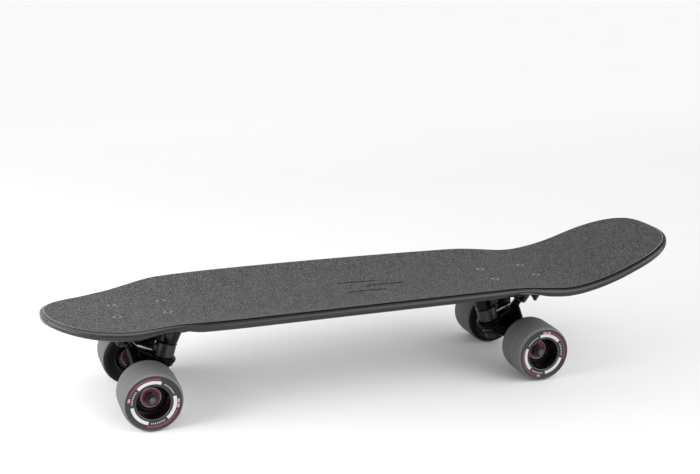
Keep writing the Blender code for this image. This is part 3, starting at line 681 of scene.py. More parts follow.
def core_floor_look():
    look = Look("core_floor", roughness=0.5, specular=0.10)
    look.use("Base Color", look.ramp(look.noise(120.0, 2.0), [(0.3, (0.0015, 0.0015, 0.002)), (0.7, (0.003, 0.003, 0.0035))]))
    look.bump(look.noise(400.0, 2.0), 0.15, 0.0001)
    return look.material


def shield_look():
    look = Look("bearing_shield", roughness=0.34, specular=0.5)
    broad = look.noise(300.0, 3.0)
    look.use("Base Color", look.ramp(broad, [(0.3, (0.150, 0.008, 0.036)), (0.7, (0.22, 0.013, 0.052))]))
    look.bump(look.noise(700.0), 0.15, 0.00006)
    return look.material


looks = {
    "grip": grip_look(),
    "grip_edge": grip_edge_look(),
    "slit": shade_slit_look(),
    # painted highlight on the rail's upper round near the nose
    "shoulder": highlight_shoulder_look("deck_shoulder", 0.075),
    "shoulder_low": highlight_shoulder_look("deck_shoulder_low", 0.055),
    # painted shade: the tail's tip takes a near-black, duller look, darker than the rest of the rail
    "deck_tip_painted_shade": rubber_look("deck_tip_painted_shade", (0.003, 0.003, 0.003), (0.005, 0.005, 0.005), 0.5, 300.0, 0.3, 0.05),
    "deck_rail": wood_look("deck_rail", (0.011, 0.011, 0.012), (0.017, 0.017, 0.018), 0.25, 0.0, 0.3, 0.40),
    "deck_ply": wood_look("deck_ply", (0.009, 0.009, 0.010), (0.014, 0.014, 0.015), 0.26, 0.0, 0.4, 0.40),
    "deck_face": wood_look("deck_face", (0.014, 0.013, 0.013), (0.036, 0.034, 0.032), 0.36, 0.25, 1.0),
    "truck": cast_look("truck_coat", 0.22),
    "hanger": cast_look("hanger_coat", 0.05),
    "ridge": cast_look("hanger_ridge_coat", 0.85),
    "steel": machined_look("steel_bright", (0.50, 0.50, 0.49), 0.28),
    "axle_steel": machined_look("axle_oiled", (0.105, 0.110, 0.106), 0.40),
    "nut_steel": machined_look("nut_zinc", (0.060, 0.064, 0.061), 0.36),
    "black_steel": machined_look("bolt_black", (0.050, 0.050, 0.052), 0.38),
    "screw_head": machined_look("screw_head", (0.105, 0.105, 0.107), 0.42),
    "screw_rim": machined_look("screw_rim", (0.62, 0.62, 0.62), 0.34),
    "bushing": rubber_look("bushing_urethane", (0.013, 0.013, 0.014), (0.020, 0.020, 0.021), 0.27, 300.0, 0.5, 0.08),
    "tyre": tyre_look(),
    "tread": tread_look(),
    "inner_face": shaded_inner_face_look(),
    "core": core_look(),
    "core_floor": core_floor_look(),
    # painted highlight: the hub's mouth rim is painted grey, far paler than the black hub, to stand in for the light it
    # catches
    "core_rim_painted_highlight": rubber_look("core_rim_painted_highlight", (0.09, 0.09, 0.09), (0.12, 0.12, 0.12), 0.4, 300.0, 0.5, 0.1),
    "shield": shield_look(),
    "riser": rubber_look("riser_rubber", (0.010, 0.010, 0.010), (0.018, 0.018, 0.018), 0.62, 500.0, 0.35, 0.3),
    "cup": rubber_look("cup_urethane", (0.016, 0.016, 0.016), (0.026, 0.026, 0.026), 0.55),
    "nylon": rubber_look("nylon_ring", (0.020, 0.023, 0.021), (0.034, 0.038, 0.035), 0.45, 300.0, 0.3, 0.1),
}


# ================================================================ deck and grip
def half_width(x):
    width = HALF_WIDTH
    if x > TAPER_X:
        width -= TAPER * ((x - TAPER_X) / (TAIL_ROUND_X - TAPER_X)) ** TAPER_POWER
    if x < NOSE_ROUND_X:
        share = clamp((NOSE_ROUND_X - x) / (NOSE_ROUND_X - NOSE_X))
        width *= (1 - share ** NOSE_POWER) ** (1 / NOSE_POWER)
    if x > TAIL_ROUND_X:
        share = clamp((x - TAIL_ROUND_X) / (TAIL_X - TAIL_ROUND_X))
        width *= (1 - share ** TAIL_POWER) ** (1 / TAIL_POWER)
    return width


def spine_z(x):
    if x < NOSE_RISE_X:
        return PLATFORM_Z + NOSE_RISE * ((NOSE_RISE_X - x) / (NOSE_RISE_X - NOSE_X)) ** NOSE_RISE_POWER
    if x <= KICK_X:
        return PLATFORM_Z
    arc = KICK_SLOPE * KICK_RADIUS
    run = x - KICK_X
    if run < arc:
        return PLATFORM_Z + run * run / (2 * KICK_RADIUS)
    return PLATFORM_Z + arc * arc / (2 * KICK_RADIUS) + (run - arc) * KICK_SLOPE


def rail_lift(x):
    lift = CONCAVE - CONCAVE_LOSS * ((x - CONCAVE_MID_X) / 175.0) ** 2
    lift *= ease((x - FRONT_FADE[0]) / (FRONT_FADE[1] - FRONT_FADE[0]))
    lift *= 1 - ease((x - REAR_FADE[0]) / (REAR_FADE[1] - REAR_FADE[0]))
    spoon = TAIL_SPOON * ease((x - KICK_X) / 40.0) * (1 - ease((x - 298.0) / 60.0))
    return max(lift, 0.0) + spoon


def grip_top(x, y):
    share = clamp(abs(y) / max(half_width(x) - GRIP_INSET, 8.0))
    rise = clamp((share - CONCAVE_FLAT) / (1 - CONCAVE_FLAT)) ** CONCAVE_POWER
    return spine_z(x) + rail_lift(x) * rise


def well(x):
    return max(math.cos(clamp(abs(x - middle) / WELL_HALF) * math.pi / 2) ** 2 for middle in (FRONT_WELL_X, REAR_WELL_X))


def deck_thickness(x, y):
    share = clamp(abs(y) / max(half_width(x) - GRIP_INSET, 8.0))
    side = clamp((share - 0.55) / 0.45) ** 1.5
    rail = RAIL_THICK - NOSE_THIN * ease((x - NOSE_THIN_X[0]) / (NOSE_THIN_X[1] - NOSE_THIN_X[0]))
    return DECK_THICK - (DECK_THICK - rail) * side - WELL_DEPTH * well(x) * side


def deck_top(x, y):
    return grip_top(x, y) - GRIP_THICK - GRIP_GAP


ROWS = 300


def outline():
    """Points evenly spaced along the outline's right side, with outward normals."""
    dense = []
    for k in range(2001):
        dense.append(NOSE_X + (TAIL_X - NOSE_X) * 0.5 * (1 - math.cos(math.pi * k / 2000)))
    for k in range(1, 400):           # the blunt tips need points far closer than that
        dense.append(NOSE_X + 1.5 * (k / 400) ** 3)
        dense.append(TAIL_X - 1.5 * (k / 400) ** 3)
    xs = np.array(sorted(set(dense)))
    ys = np.array([half_width(float(x)) for x in xs])
    run = np.concatenate([[0.0], np.cumsum(np.hypot(np.diff(xs), np.diff(ys)))])
    places = np.linspace(0.0, run[-1], ROWS + 1)
    px, py = np.interp(places, run, xs), np.interp(places, run, ys)
    px[0], py[0], px[-1], py[-1] = NOSE_X, 0.0, TAIL_X, 0.0
    points, normals = [], []
    for i in range(ROWS + 1):
        points.append(Vector((px[i], py[i])))
        if i == 0:
            normals.append(Vector((-1, 0)))
        elif i == ROWS:
            normals.append(Vector((1, 0)))
        else:
            step = Vector((px[i + 1] - px[i - 1], py[i + 1] - py[i - 1]))
            normals.append(Vector((-step.y, step.x)).normalized())
    return points, normals


OUTLINE = outline()
ACROSS = [1 - 2 * k / 56 for k in range(57)]


def inset_ring(inset):
    points, normals = OUTLINE
    return [p - n * inset for p, n in zip(points, normals)]


class Skin:
    """Collects points and faces of one closed skin."""

    def __init__(self):
        self.verts, self.faces, self.marks = [], [], []

    def vert(self, x, y, z):
        self.verts.append((x, y, z))
        return len(self.verts) - 1

    def face(self, corners, mark):
        self.faces.append(tuple(corners))
        self.marks.append(mark)

    def sheet(self, ring, height, mark):
        rows, last = [], len(ring) - 1
        for i, point in enumerate(ring):
            if i in (0, last):
                rows.append([self.vert(point.x, 0.0, height(point.x, 0.0))])
            else:
                rows.append([self.vert(point.x, point.y * a, height(point.x, point.y * a)) for a in ACROSS])
        for first, second in zip(rows, rows[1:]):
            if len(first) == 1:
                for a, b in zip(second, second[1:]):
                    self.face((first[0], a, b), mark)
            elif len(second) == 1:
                for a, b in zip(first, first[1:]):
                    self.face((a, second[0], b), mark)
            else:
                for (a, b), (c, d) in zip(zip(first, first[1:]), zip(second, second[1:])):
                    self.face((a, c, d, b), mark)
        return [rows[0][0]] + [r[0] for r in rows[1:-1]] + [rows[-1][0]] + [r[-1] for r in reversed(rows[1:-1])]

    def loop(self, inset, height):
        ring = inset_ring(inset)
        return [self.vert(p.x, y, height(p.x, y)) for p, y in
                [(p, p.y) for p in ring] + [(p, -p.y) for p in reversed(ring[1:-1])]]

    def join(self, first, second, mark):
        """A strip of faces; the mark may be a function of x."""
        count = len(first)
        for i in range(count):
            j = (i + 1) % count
            self.face((first[i], first[j], second[j], second[i]), mark(self.verts[first[i]][0]) if callable(mark) else mark)


def bolt_places():
    for i, u in enumerate((-1, 1)):
        for j, v in enumerate((-1, 1)):
            yield i * 2 + j + 1, (BOLT_OFFSET + u * BOLT_SPACING_X / 2, v * BOLT_SPACING_Y / 2)


def truck_matrix(truck):
    x, spin = AXLES[truck]
    return Matrix.Translation((x * MM, 0, 0)) @ Matrix.Rotation(spin, 4, "Z")


def hole_cutters(name, profile):
    cutters = []
    for truck in AXLES:
        for index, (u, v) in bolt_places():
            place = truck_matrix(truck) @ Matrix.Translation((u * MM, v * MM, 0))
            mesh = turned(f"{name}_{truck}_{index}", profile, 48, closed=False)
            mesh.transform(place)
            cutters.append(mesh)
    return [joined(name, cutters)]


def deck_mesh():
    skin = Skin()

    def under(x, y):
        return deck_top(x, y) - deck_thickness(x, y)

    # the deck's top under the sheet takes the painted-shade look, as it shows only through the slits
    upper = skin.sheet(inset_ring(GRIP_INSET + 0.35), deck_top, 3)
    lower = skin.sheet(inset_ring(GRIP_INSET), under, 2)
    loops, power, parts = [upper], 2.4, 28
    plies = []
    for k in range(1, parts):
        a = math.pi * k / parts
        depth = 0.5 - 0.5 * math.copysign(abs(math.cos(a)) ** (2 / power), math.cos(a))
        depth += 0.055 * (1 - depth)
        inset = GRIP_INSET * (1 - math.sin(a) ** (2 / power))

        def height(x, y, depth=depth):
            return deck_top(x, y) - depth * deck_thickness(x, y)

        loops.append(skin.loop(inset, height))
        plies.append(depth)
    loops.append(lower)
    plies = [0.0] + plies + [1.0]
    for k, (first, second) in enumerate(zip(loops, loops[1:])):
        ply = int((plies[k] + plies[k + 1]) / 2 * 7) % 2

        def look_at(x, k=k, ply=ply):
            # the tail's tip takes the painted-shade look
            if x > 346.0:
                return 6
            # near the nose the rail's upper round takes the painted-highlight shoulder looks
            if x < -210.0:
                return 4 if k < 5 else 5 if k < 7 else ply
            # along the middle the rail's top two strips take the painted-shade look: a dark line painted under the
            # grip's edge
            return 3 if k < 2 else ply

        skin.join(first, second, look_at)
    mesh = mesh_from("deck_skin", skin.verts, skin.faces, skin.marks, 60.0)
    top = PLATFORM_Z - 0.15
    return cut(mesh, hole_cutters("deck_holes", [(0, 80), (HOLE_R, 80), (HOLE_R, top - 3.4), (4.85, top - 0.9), (4.85, top + 9), (0, top + 9)]), "EXACT")


def grip_mesh():
    """The sheet, its filed edge, and three plain staggered slits."""
    skin = Skin()
    inset = GRIP_INSET + 0.2
    upper = skin.sheet(inset_ring(inset + 0.80), grip_top, 0)
    lower = skin.sheet(inset_ring(inset + 0.35), lambda x, y: grip_top(x, y) - GRIP_THICK, 0)
    edge = skin.loop(inset, lambda x, y: grip_top(x, y) - 0.18)
    skin.join(upper, edge, 1)
    # the sheet's side wall takes the painted-shade look along the board, and the pale edge look, a painted highlight,
    # at the nose tip
    skin.join(edge, lower, lambda x: 1 if x < -342.0 else 2)
    mesh = mesh_from("grip_sheet", skin.verts, skin.faces, skin.marks, 60.0)
    top = PLATFORM_Z - 0.15
    cutters = hole_cutters("grip_holes", [(0, 98), (4.8, 98), (4.8, top + 9), (0, top + 9)])
    slits = []
    for x0, x1, y in ((-34.0, 14.0, 17.0), (-4.0, 44.0, 0.0), (-34.0, 14.0, -17.0)):
        slits.append(slab_mesh("slit", (x0, y - 1.7, 100.0), (x1, y + 1.7, 112.0), 1.6, 0.05))
    return cut(mesh, cutters + [joined("grip_slits", slits)], "EXACT")


board = "board"
put("deck_shell", deck_mesh(), [looks[k] for k in ("deck_rail", "deck_ply", "deck_face", "slit", "shoulder", "shoulder_low", "deck_tip_painted_shade")], board, replaces=["deck"])
put("grip_sheet", grip_mesh(), [looks["grip"], looks["grip_edge"], looks["slit"]], board, replaces=["grip_tape"])


# ================================================================ truck shapes, in U (inboard), Y, Z
KING = Vector((math.sin(KING_TILT), 0, math.cos(KING_TILT)))
STEER = Vector((math.cos(STEER_TILT), 0, -math.sin(STEER_TILT)))
RING = Vector((RING_U, 0, RING_Z))
PIVOT = RING - STEER * PIVOT_REACH
NOSE = Vector((-math.sin(NOSE_TILT), 0, math.cos(NOSE_TILT)))

BUSH_UP0 = SEAT_HALF + GAP
BUSH_UP1 = BUSH_UP0 + UPPER_BUSH
WASH_UP0 = BUSH_UP1 + GAP
WASH_UP1 = WASH_UP0 + WASHER
BOSS = WASH_UP1 + GAP
BUSH_LOW0 = -SEAT_HALF - GAP
BUSH_LOW1 = BUSH_LOW0 - LOWER_BUSH
WASH_LOW0 = BUSH_LOW1 - GAP
WASH_LOW1 = WASH_LOW0 - WASHER
NUT_TOP = WASH_LOW1 - GAP
NUT_LOW = NUT_TOP - 6.6
KING_LOW = NUT_LOW - 1.4
HEAD_LOW = BOSS + 9.0
HEAD_TOP = HEAD_LOW + 6.0


def on_king(distance):
    return RING + KING * distance


def king_matrix(distance=0.0):
    return Matrix.Translation(on_king(distance)) @ KING.to_track_quat("Z", "Y").to_matrix().to_4x4()


def nose_matrix():
    return Matrix.Translation(PIVOT) @ NOSE.to_track_quat("Z", "Y").to_matrix().to_4x4()


def along_y(y):
    return Matrix.Translation((0, y, WHEEL_R)) @ Matrix.Rotation(math.radians(-90), 4, "X")


def rod(name, corners, steps=64, matrix=None):
    """A turned solid from its outer corners (radius, height, rounding), lowest first."""
    line = rounded([(0.0, corners[0][1])] + list(corners) + [(0.0, corners[-1][1])], closed=False)
    return turned(name, line, steps, matrix, closed=False)


def hanger_mesh():
    axle, y = Vector((0, 0, WHEEL_R)), Vector((0, 1, 0))
    down = Vector((-math.sin(STEER_TILT), 0, -math.cos(STEER_TILT)))
    ring = [p for s in (-RING_HALF + 1.2, RING_HALF - 4.6) for p in circle(on_king(s), KING, RING_R - 2.2, 56)]
    lumps = [
        hull("ring_yoke", ring + circle(axle + y * 24 + Vector((0, 0, 1)), y, 7.0) + circle(axle - y * 24 + Vector((0, 0, 1)), y, 7.0)),
        turned("ring_lip", rounded([(0, -1.4), (RING_R, -1.4, 2.2), (RING_R, RING_HALF, 1.9), (0, RING_HALF)], closed=False), 72, king_matrix(), closed=False),
        turned("ring_foot", rounded([(0, -RING_HALF), (RING_R - 1.6, -RING_HALF, 1.0), (RING_R - 1.6, 0.0), (0, 0.0)], closed=False), 72, king_matrix(), closed=False),
        hull("web", [p + y * k for k in (-4.0, 4.0) for p in circle(RING - STEER * 12.0 + down * 0.9, y, 4.6) + circle(RING - STEER * 29.0 + down * 3.0, y, 4.2)]
             + circle(axle + Vector((2.0, 0, 3.0)), y, 5.0)),
        hull("wing", circle(axle + y * 41 + Vector((-0.5, 0, 0.5)), y, 7.2) + circle(axle - y * 41 + Vector((-0.5, 0, 0.5)), y, 7.2)
             + ball((-6.5, 4.0, 59.5), 5.4) + ball((-6.5, -4.0, 59.5), 5.4)),
        hull("ridge", circle(RING - STEER * 12.5 + down * 2.8, STEER, 7.2) + circle(RING - STEER * 29 + down * 4.0, STEER, 5.4) + ball((-4.5, 0, 56), 5.0)),
        rod("pivot_nose", [(6.8, -17.0), (5.4, -9.0), (4.9, -5.0)]
            + [(5.4 * math.cos(math.radians(a)), 5.4 * math.sin(math.radians(a))) for a in (-24, -10, 5, 20, 35, 50, 65, 80)]
            + [(0.6, 5.4)], 40, nose_matrix()),
        rod("axle_tube", [(7.6, -HANGER_HALF, 0.6), (8.0, -42), (8.3, -30), (8.2, 0), (8.3, 30), (8.0, 42), (7.6, HANGER_HALF, 0.6)], 56, along_y(0)),
    ]
    cuts = [
        turned("ring_bore", [(0, -12), (7.6, -12), (7.6, 12), (0, 12)], 56, king_matrix(), closed=False),
        turned("upper_seat", [(0, SEAT_HALF), (SEAT_R, SEAT_HALF), (SEAT_R + 0.5, RING_HALF + 1.0), (16.5, 19.0), (0, 19.0)], 72, king_matrix(), closed=False),
        turned("lower_seat", [(0, -27.0), (17.0, -27.0), (SEAT_R + 0.5, -RING_HALF - 1.0), (SEAT_R, -SEAT_HALF), (0, -SEAT_HALF)], 72, king_matrix(), closed=False),
        turned("axle_bore", [(0, -60), (AXLE_R + 0.25, -60), (AXLE_R + 0.25, 60), (0, 60)], 40, along_y(0), closed=False),
    ]
    return cast("hanger_cast", lumps, 0.62, 5, cuts)


def baseplate_mesh():
    lumps = [
        slab_mesh("plate_slab", (PLATE_U[0], -PLATE_HALF_Y, PLATE_TOP_Z - PLATE_THICK), (PLATE_U[1], PLATE_HALF_Y, PLATE_TOP_Z), 9.0, 1.2),
        hull("king_boss", circle(on_king(BOSS), KING, 11.6, 56) + circle(on_king(BOSS + 9), KING, 13.0, 56)
             + circle(Vector((on_king(BOSS + 19).x + 1, 0, PLATE_TOP_Z - 3.0)), (0, 0, 1), 15.0, 56)),
        hull("web", circle((15, 0, 86), (0, 0, 1), 10.0) + circle((36, 0, 86), (0, 0, 1), 11.0)
             + ball((18.0, 0, 67.9), 6.0) + ball((10.0, 0, 68.7), 6.0) + ball((5.4, 0, 70.9), 6.0)),
        hull("pivot_housing", circle(PIVOT - NOSE * 1.0, NOSE, 9.3) + circle(PIVOT + NOSE * 7, NOSE, 9.8)
             + circle((PIVOT.x - 7.0, 0, PLATE_TOP_Z - 3.0), (0, 0, 1), 13.0)),
    ]
    cuts = [
        turned("plate_level", [(0, PLATE_TOP_Z), (90, PLATE_TOP_Z), (90, PLATE_TOP_Z + 20), (0, PLATE_TOP_Z + 20)], 8, closed=False),
        turned("stack_room", [(0, BOSS - 14), (15.5, BOSS - 14), (15.5, BOSS), (0, BOSS)], 56, king_matrix(), closed=False),
        turned("king_hole", [(0, BOSS - 8), (KINGPIN_R + 0.2, BOSS - 8), (KINGPIN_R + 0.2, HEAD_LOW + 2), (0, HEAD_LOW + 2)], 48, king_matrix(), closed=False),
        turned("head_pocket", [(0, HEAD_LOW - GAP), (8.8, HEAD_LOW - GAP), (8.8, 62), (0, 62)], 48, king_matrix(), closed=False),
        turned("cup_socket", [(0, -12.0), (7.9, -12.0), (7.9, 8.0), (0, 8.0)], 48, nose_matrix(), closed=False),
    ]
    for index, (u, v) in bolt_places():
        cuts.append(turned(f"plate_hole_{index}", [(0, 40), (HOLE_R, 40), (HOLE_R, 92), (0, 92)], 36,
                           Matrix.Translation((u, v, 0)), closed=False))
    return cast("baseplate_cast", lumps, 0.62, 5, cuts)


def riser_mesh():
    mesh = slab_mesh("riser_block", (PLATE_U[0], -PLATE_HALF_Y, PLATE_TOP_Z + 0.05), (PLATE_U[1], PLATE_HALF_Y, RISER_TOP_Z + 0.25), 9.0, 0.5)
    cuts = [turned(f"riser_hole_{index}", [(0, 80), (HOLE_R, 80), (HOLE_R, 100), (0, 100)], 32, Matrix.Translation((u, v, 0)), closed=False)
            for index, (u, v) in bolt_places()]
    return cut(mesh, cuts, "EXACT")


def bushing_mesh(name, low, high, low_r, high_r, bulge):
    """Its bore leaves room for the ring to tilt round the kingpin; it has rings every 0.7 mm along its side."""
    bore = KINGPIN_R + 1.7
    line = rounded([(bore, low, 0.5), (low_r, low, 1.0), ((low_r + high_r) / 2 + bulge, (low + high) / 2, 30.0), (high_r, high, 1.0), (bore, high, 0.5)], turn=6.0)
    fine = []
    for (r0, h0), (r1, h1) in zip(line, line[1:] + line[:1]):
        count = max(1, math.ceil(abs(h1 - h0) / 0.7))
        fine += [(r0 + (r1 - r0) * k / count, h0 + (h1 - h0) * k / count) for k in range(count)]
    return turned(name, fine, 96, king_matrix())


def washer_mesh(name, flat, towards, radius):
    far, rim = flat - WASHER * towards, flat + 0.6 * towards
    bore = KINGPIN_R + 0.1
    line = [(bore, far, 0.15), (radius - 0.5, far, 0.5), (radius + 0.9, flat, 0.5), (radius + 0.9, rim, 0.25),
            (radius + 0.2, rim, 0.25), (radius - 0.45, flat, 0.6), (bore, flat, 0.15)]
    return turned(name, rounded(line), 96, king_matrix())


def nut_mesh(name, across, bore, low, high, collar=None, matrix=None, steps=96):
    """A chamfered hexagon; a collar (radius, height, ring thickness) holds the locking ring."""
    body_top = high if collar is None else high - collar[1]
    rings, marks = [], []

    def add(ring, mark=0):
        rings.append(ring)
        marks.append(mark)

    flat = across / 2
    add((bore + 0.35, low))
    add((flat * 0.97, low))
    add([(hex_radius(across, i, steps), low + 0.60 * max(0.0, hex_radius(across, i, steps) - flat * 0.97)) for i in range(steps)])
    add([(hex_radius(across, i, steps), body_top - 0.60 * max(0.0, hex_radius(across, i, steps) - flat * 0.97)) for i in range(steps)])
    add((flat * 0.97, body_top))
    if collar is not None:
        radius, height, thick = collar
        line = rounded([(radius + 0.4, body_top), (radius, body_top + 0.5, 0.3), (radius, high - 0.1, 0.7), (radius - thick, high - 0.1, 0.2), (radius - thick, high - 0.45)], closed=False)
        for point in line[:-1]:
            add(point)
        add((radius - thick, high - 0.45), 1)
        add((bore + 0.05, high - 0.45), 1)
        add((bore + 0.05, body_top + 0.1), 0)
    add((bore + 0.35, body_top) if collar is None else (bore, body_top))
    add((bore, body_top - 0.35))
    add((bore, low + 0.35))
    return sections_mesh(name, rings, steps, True, matrix, marks, 28.0)


def kingpin_mesh():
    steps = 72
    rings = [(0.0, KING_LOW), (KINGPIN_R - 0.9, KING_LOW), (KINGPIN_R - 0.35, KING_LOW + 0.5)]
    rings += thread(KINGPIN_R, KING_LOW + 0.55, NUT_TOP + 3.0, 1.06, 0.5, steps)
    rings += [(KINGPIN_R, NUT_TOP + 3.2), (KINGPIN_R, HEAD_LOW)]
    rings += [(6.3, HEAD_LOW), hex_ring(13.16, HEAD_LOW + 0.4, steps), hex_ring(13.16, HEAD_TOP, steps, 0.6, -0.03), (6.3, HEAD_TOP), (0.0, HEAD_TOP)]
    return sections_mesh("kingpin_turned", rings, steps, False, king_matrix(), smooth=30.0)


def pivot_cup_mesh():
    inner = 5.6
    line = [(7.7, -2.4, 0.4), (7.7, 7.75, 0.6), (0.0, 7.75), (0.0, inner)]
    line += [(inner * math.cos(math.radians(a)), inner * math.sin(math.radians(a))) for a in range(80, -1, -10)]
    line += [(6.1, -2.4, 0.3)]
    return turned("pivot_cup_moulded", rounded(line), 64, nose_matrix())


def axle_mesh():
    steps = 64
    rings = []
    rings += [(0.0, -AXLE_HALF), (AXLE_R - 0.9, -AXLE_HALF), (AXLE_R - 0.4, -AXLE_HALF + 0.5)]
    rings += thread(AXLE_R, -AXLE_HALF + 0.55, -73.0, 1.06, 0.42, steps)
    rings += [(AXLE_R, -72.8), (AXLE_R, 72.8)]
    rings += thread(AXLE_R, 73.0, AXLE_HALF - 0.55, 1.06, 0.42, steps)
    rings += [(AXLE_R - 0.4, AXLE_HALF - 0.5), (AXLE_R - 0.9, AXLE_HALF), (0.0, AXLE_HALF)]
    return sections_mesh("axle_turned", rings, steps, False, along_y(0), smooth=30.0)


def deck_bolt_mesh():
    """Countersunk screw with a hexagon socket."""
    steps, top = 72, PLATFORM_Z - 0.15
    rings = [(0.0, 74.0), (BOLT_R - 0.5, 74.0), (BOLT_R - 0.25, 74.3)]
    rings += thread(BOLT_R, 74.35, 88.5, 0.79, 0.3, steps, 6)
    rings += [(BOLT_R, 88.7), (BOLT_R, top - 3.4)]
    marks = [0] * (len(rings) - 1)
    rings += [(4.55, top - 0.9), (4.7, top - 0.75), (4.7, top - 0.30), (4.32, top - 0.02), (4.15, top), (2.15, top)]
    marks += [0, 0, 0, 2, 2, 1]
    socket = [(hex_radius(3.4, i, steps), top - 0.35) for i in range(steps)]
    deep = [(hex_radius(3.4, i, steps), top - 2.3) for i in range(steps)]
    rings += [socket, deep, (0.0, top - 3.0)]
    # the socket's bottom takes the painted-shade look
    marks += [1, 0, 3]
    return sections_mesh("deck_bolt_turned", rings, steps, False, None, marks, smooth=30.0)


# ================================================================ wheels, local Z outwards
def tyre_mesh():
    inner, outer = WHEEL_INNER_Y, WHEEL_OUTER_Y
    corners = [
        (HUB_R + 0.05, inner + 1.2, 0.0), (26.5, inner + 0.05, 3.0), (29.2, inner + 0.8, 2.0), (31.6, inner + 4.4, 5.0), (WHEEL_R, inner + 9.0, 8.0),
        (WHEEL_R, outer - 8.2, 8.0), (31.8, outer - 2.8, 2.2), (LIP_R_FINE, outer, 0.9), (28.3, outer - 0.55, 0.5), (HUB_R + 0.05, outer - 1.0, 0.0),
    ]
    line = rounded(corners, turn=5.0)
    fine = []
    for (r0, h0), (r1, h1) in zip(line, line[1:]):      # extra rings along the tread for its ground lines
        fine.append((r0, h0))
        if abs(r0 - r1) < 0.05 and abs(h1 - h0) > 5:
            count = int(abs(h1 - h0) / 0.8)
            for k in range(1, count):
                fine.append((r0 + (r1 - r0) * k / count, h0 + (h1 - h0) * k / count))
    fine.append(line[-1])
    marks = []
    for a, b in zip(fine, fine[1:] + fine[:1]):
        outside = a[1] + b[1] > inner + outer
        # mark 2, the inner face, takes the painted-shade look
        marks.append(1 if (a[0] + b[0]) / 2 > (LIP_R if outside else SHOULDER_R) else 0 if outside else 2)
    return turned("tyre_cast", fine, 160, marks=marks, smooth=40.0)


LIP_R_FINE = 29.9


def core_mesh():
    out0, out1 = BEARING_OUT_Y, BEARING_OUT_Y - BEARING_WIDTH
    in1, in0 = out1 - SPACER, out1 - SPACER - BEARING_WIDTH
    seat = BEARING_R + 0.05
    corners = [
        (17.4, WHEEL_INNER_Y + 1.3, 0.5), (HUB_R, WHEEL_INNER_Y + 1.3, 0.4), (HUB_R, WHEEL_OUTER_Y - 0.8, 0.15), (18.75, WHEEL_OUTER_Y - 0.8, 0.05), (18.35, WHEEL_OUTER_Y - 1.25, 0.1),
        (14.8, out0 + 0.0, 2.0), (seat, out0 - 0.3, 0.1), (seat, out1 - 0.1, 0.0), (9.2, out1 - 0.1, 0.3),
        (9.2, in1 + 0.1, 0.3), (seat, in1 + 0.1, 0.0), (seat, in0 + 0.3, 0.1), (14.8, in0 - 0.0, 2.0),
    ]
    line = rounded(corners)
    marks = []
    for a, b in zip(line, line[1:] + line[:1]):
        r, h = (a[0] + b[0]) / 2, (a[1] + b[1]) / 2
        # mark 2, the mouth rim, takes the painted-highlight look
        marks.append(1 if max(a[0], b[0]) < 15.2 and h > out1 else 2 if 18.36 < r < 18.75 and h > WHEEL_OUTER_Y - 1.3 else 0)
    return turned("core_moulded", line, 128, marks=marks, smooth=40.0)


def bearing_meshes(low):
    high = low + BEARING_WIDTH
    rings = []
    for name, inside, outside in (("outer", 10.35, BEARING_R), ("inner", AXLE_R + 0.06, 6.0)):
        line = [(inside, low, 0.25), (outside, low, 0.45), (outside, high, 0.45), (inside, high, 0.25)]
        rings.append(turned(f"ring_{name}", rounded(line, turn=15.0), 96))
    shields = []
    for face, sign in ((low, 1), (high, -1)):
        line = [(6.12, face + 0.55 * sign), (6.12, face + 0.32 * sign), (6.5, face + 0.22 * sign), (6.9, face + 0.40 * sign),
                (7.3, face + 0.30 * sign), (8.3, face + 0.22 * sign), (9.2, face + 0.10 * sign), (9.9, face + 0.14 * sign), (10.3, face + 0.30 * sign), (10.3, face + 0.85 * sign), (6.5, face + 0.85 * sign)]
        shields.append(turned("shield", rounded([(r, h, 0.12) for r, h in line]), 96))
    return joined("rings", rings), joined("shields", shields)


def washer_ring(name, inner, outer, low, high):
    return turned(name, rounded([(inner, low, 0.08), (outer, low, 0.12), (outer, high, 0.12), (inner, high, 0.08)]), 64)


# ================================================================ building the trucks and wheels
shared = {
    "riser_pad": (riser_mesh(), looks["riser"], "riser"),
    "baseplate": (baseplate_mesh(), looks["truck"], "truck"),
    "kingpin": (kingpin_mesh(), looks["steel"], "steel"),
    "kingpin_nut": (nut_mesh("kingpin_nut_hex", 14.2, KINGPIN_R + 0.05, NUT_LOW, NUT_TOP, None, king_matrix()), looks["black_steel"], "black_steel"),
    "upper_bushing": (bushing_mesh("upper_bushing_cast", BUSH_UP0 - 0.2, BUSH_UP1 + 0.2, BUSH_R, BUSH_R - 0.4, 0.0), looks["bushing"], "bushing"),
    "lower_bushing": (bushing_mesh("lower_bushing_cast", BUSH_LOW1 - 0.2, BUSH_LOW0 + 0.2, LOWER_BUSH_R, BUSH_R - 0.4, 0.1), looks["bushing"], "bushing"),
    "upper_washer": (washer_mesh("upper_washer_cup", WASH_UP0, -1, UPPER_WASHER_R), looks["black_steel"], "black_steel"),
    "lower_washer": (washer_mesh("lower_washer_cup", WASH_LOW0, 1, LOWER_WASHER_R), looks["black_steel"], "black_steel"),
    "pivot_cup": (pivot_cup_mesh(), looks["cup"], "cup"),
}
hanger = hanger_mesh()
hanger.materials.clear()
for slot_look in ("hanger", "ridge"):
    hanger.materials.append(looks[slot_look])
crest = Vector((math.sin(STEER_TILT), 0, math.cos(STEER_TILT)))
for face in hanger.polygons:            # the ridge's crest is rubbed to a shine
    u, v, w = face.center / MM
    face.material_index = 1 if abs(v) < 4.2 and -8.0 < u < 18.0 and w > 52.0 and face.normal.dot(crest) > 0.72 else 0
axle = axle_mesh()
bolt = deck_bolt_mesh()
deck_nut = nut_mesh("deck_nut_hex", 8.7, BOLT_R + 0.05, 77.0, PLATE_TOP_Z - PLATE_THICK - 0.05, (3.5, 1.9, 0.5), None, 72)
deck_nut.transform(Matrix.Translation((0, 0, 2 * 79.9 * MM)) @ Matrix.Rotation(math.pi, 4, "X"))
tyre, core = tyre_mesh(), core_mesh()
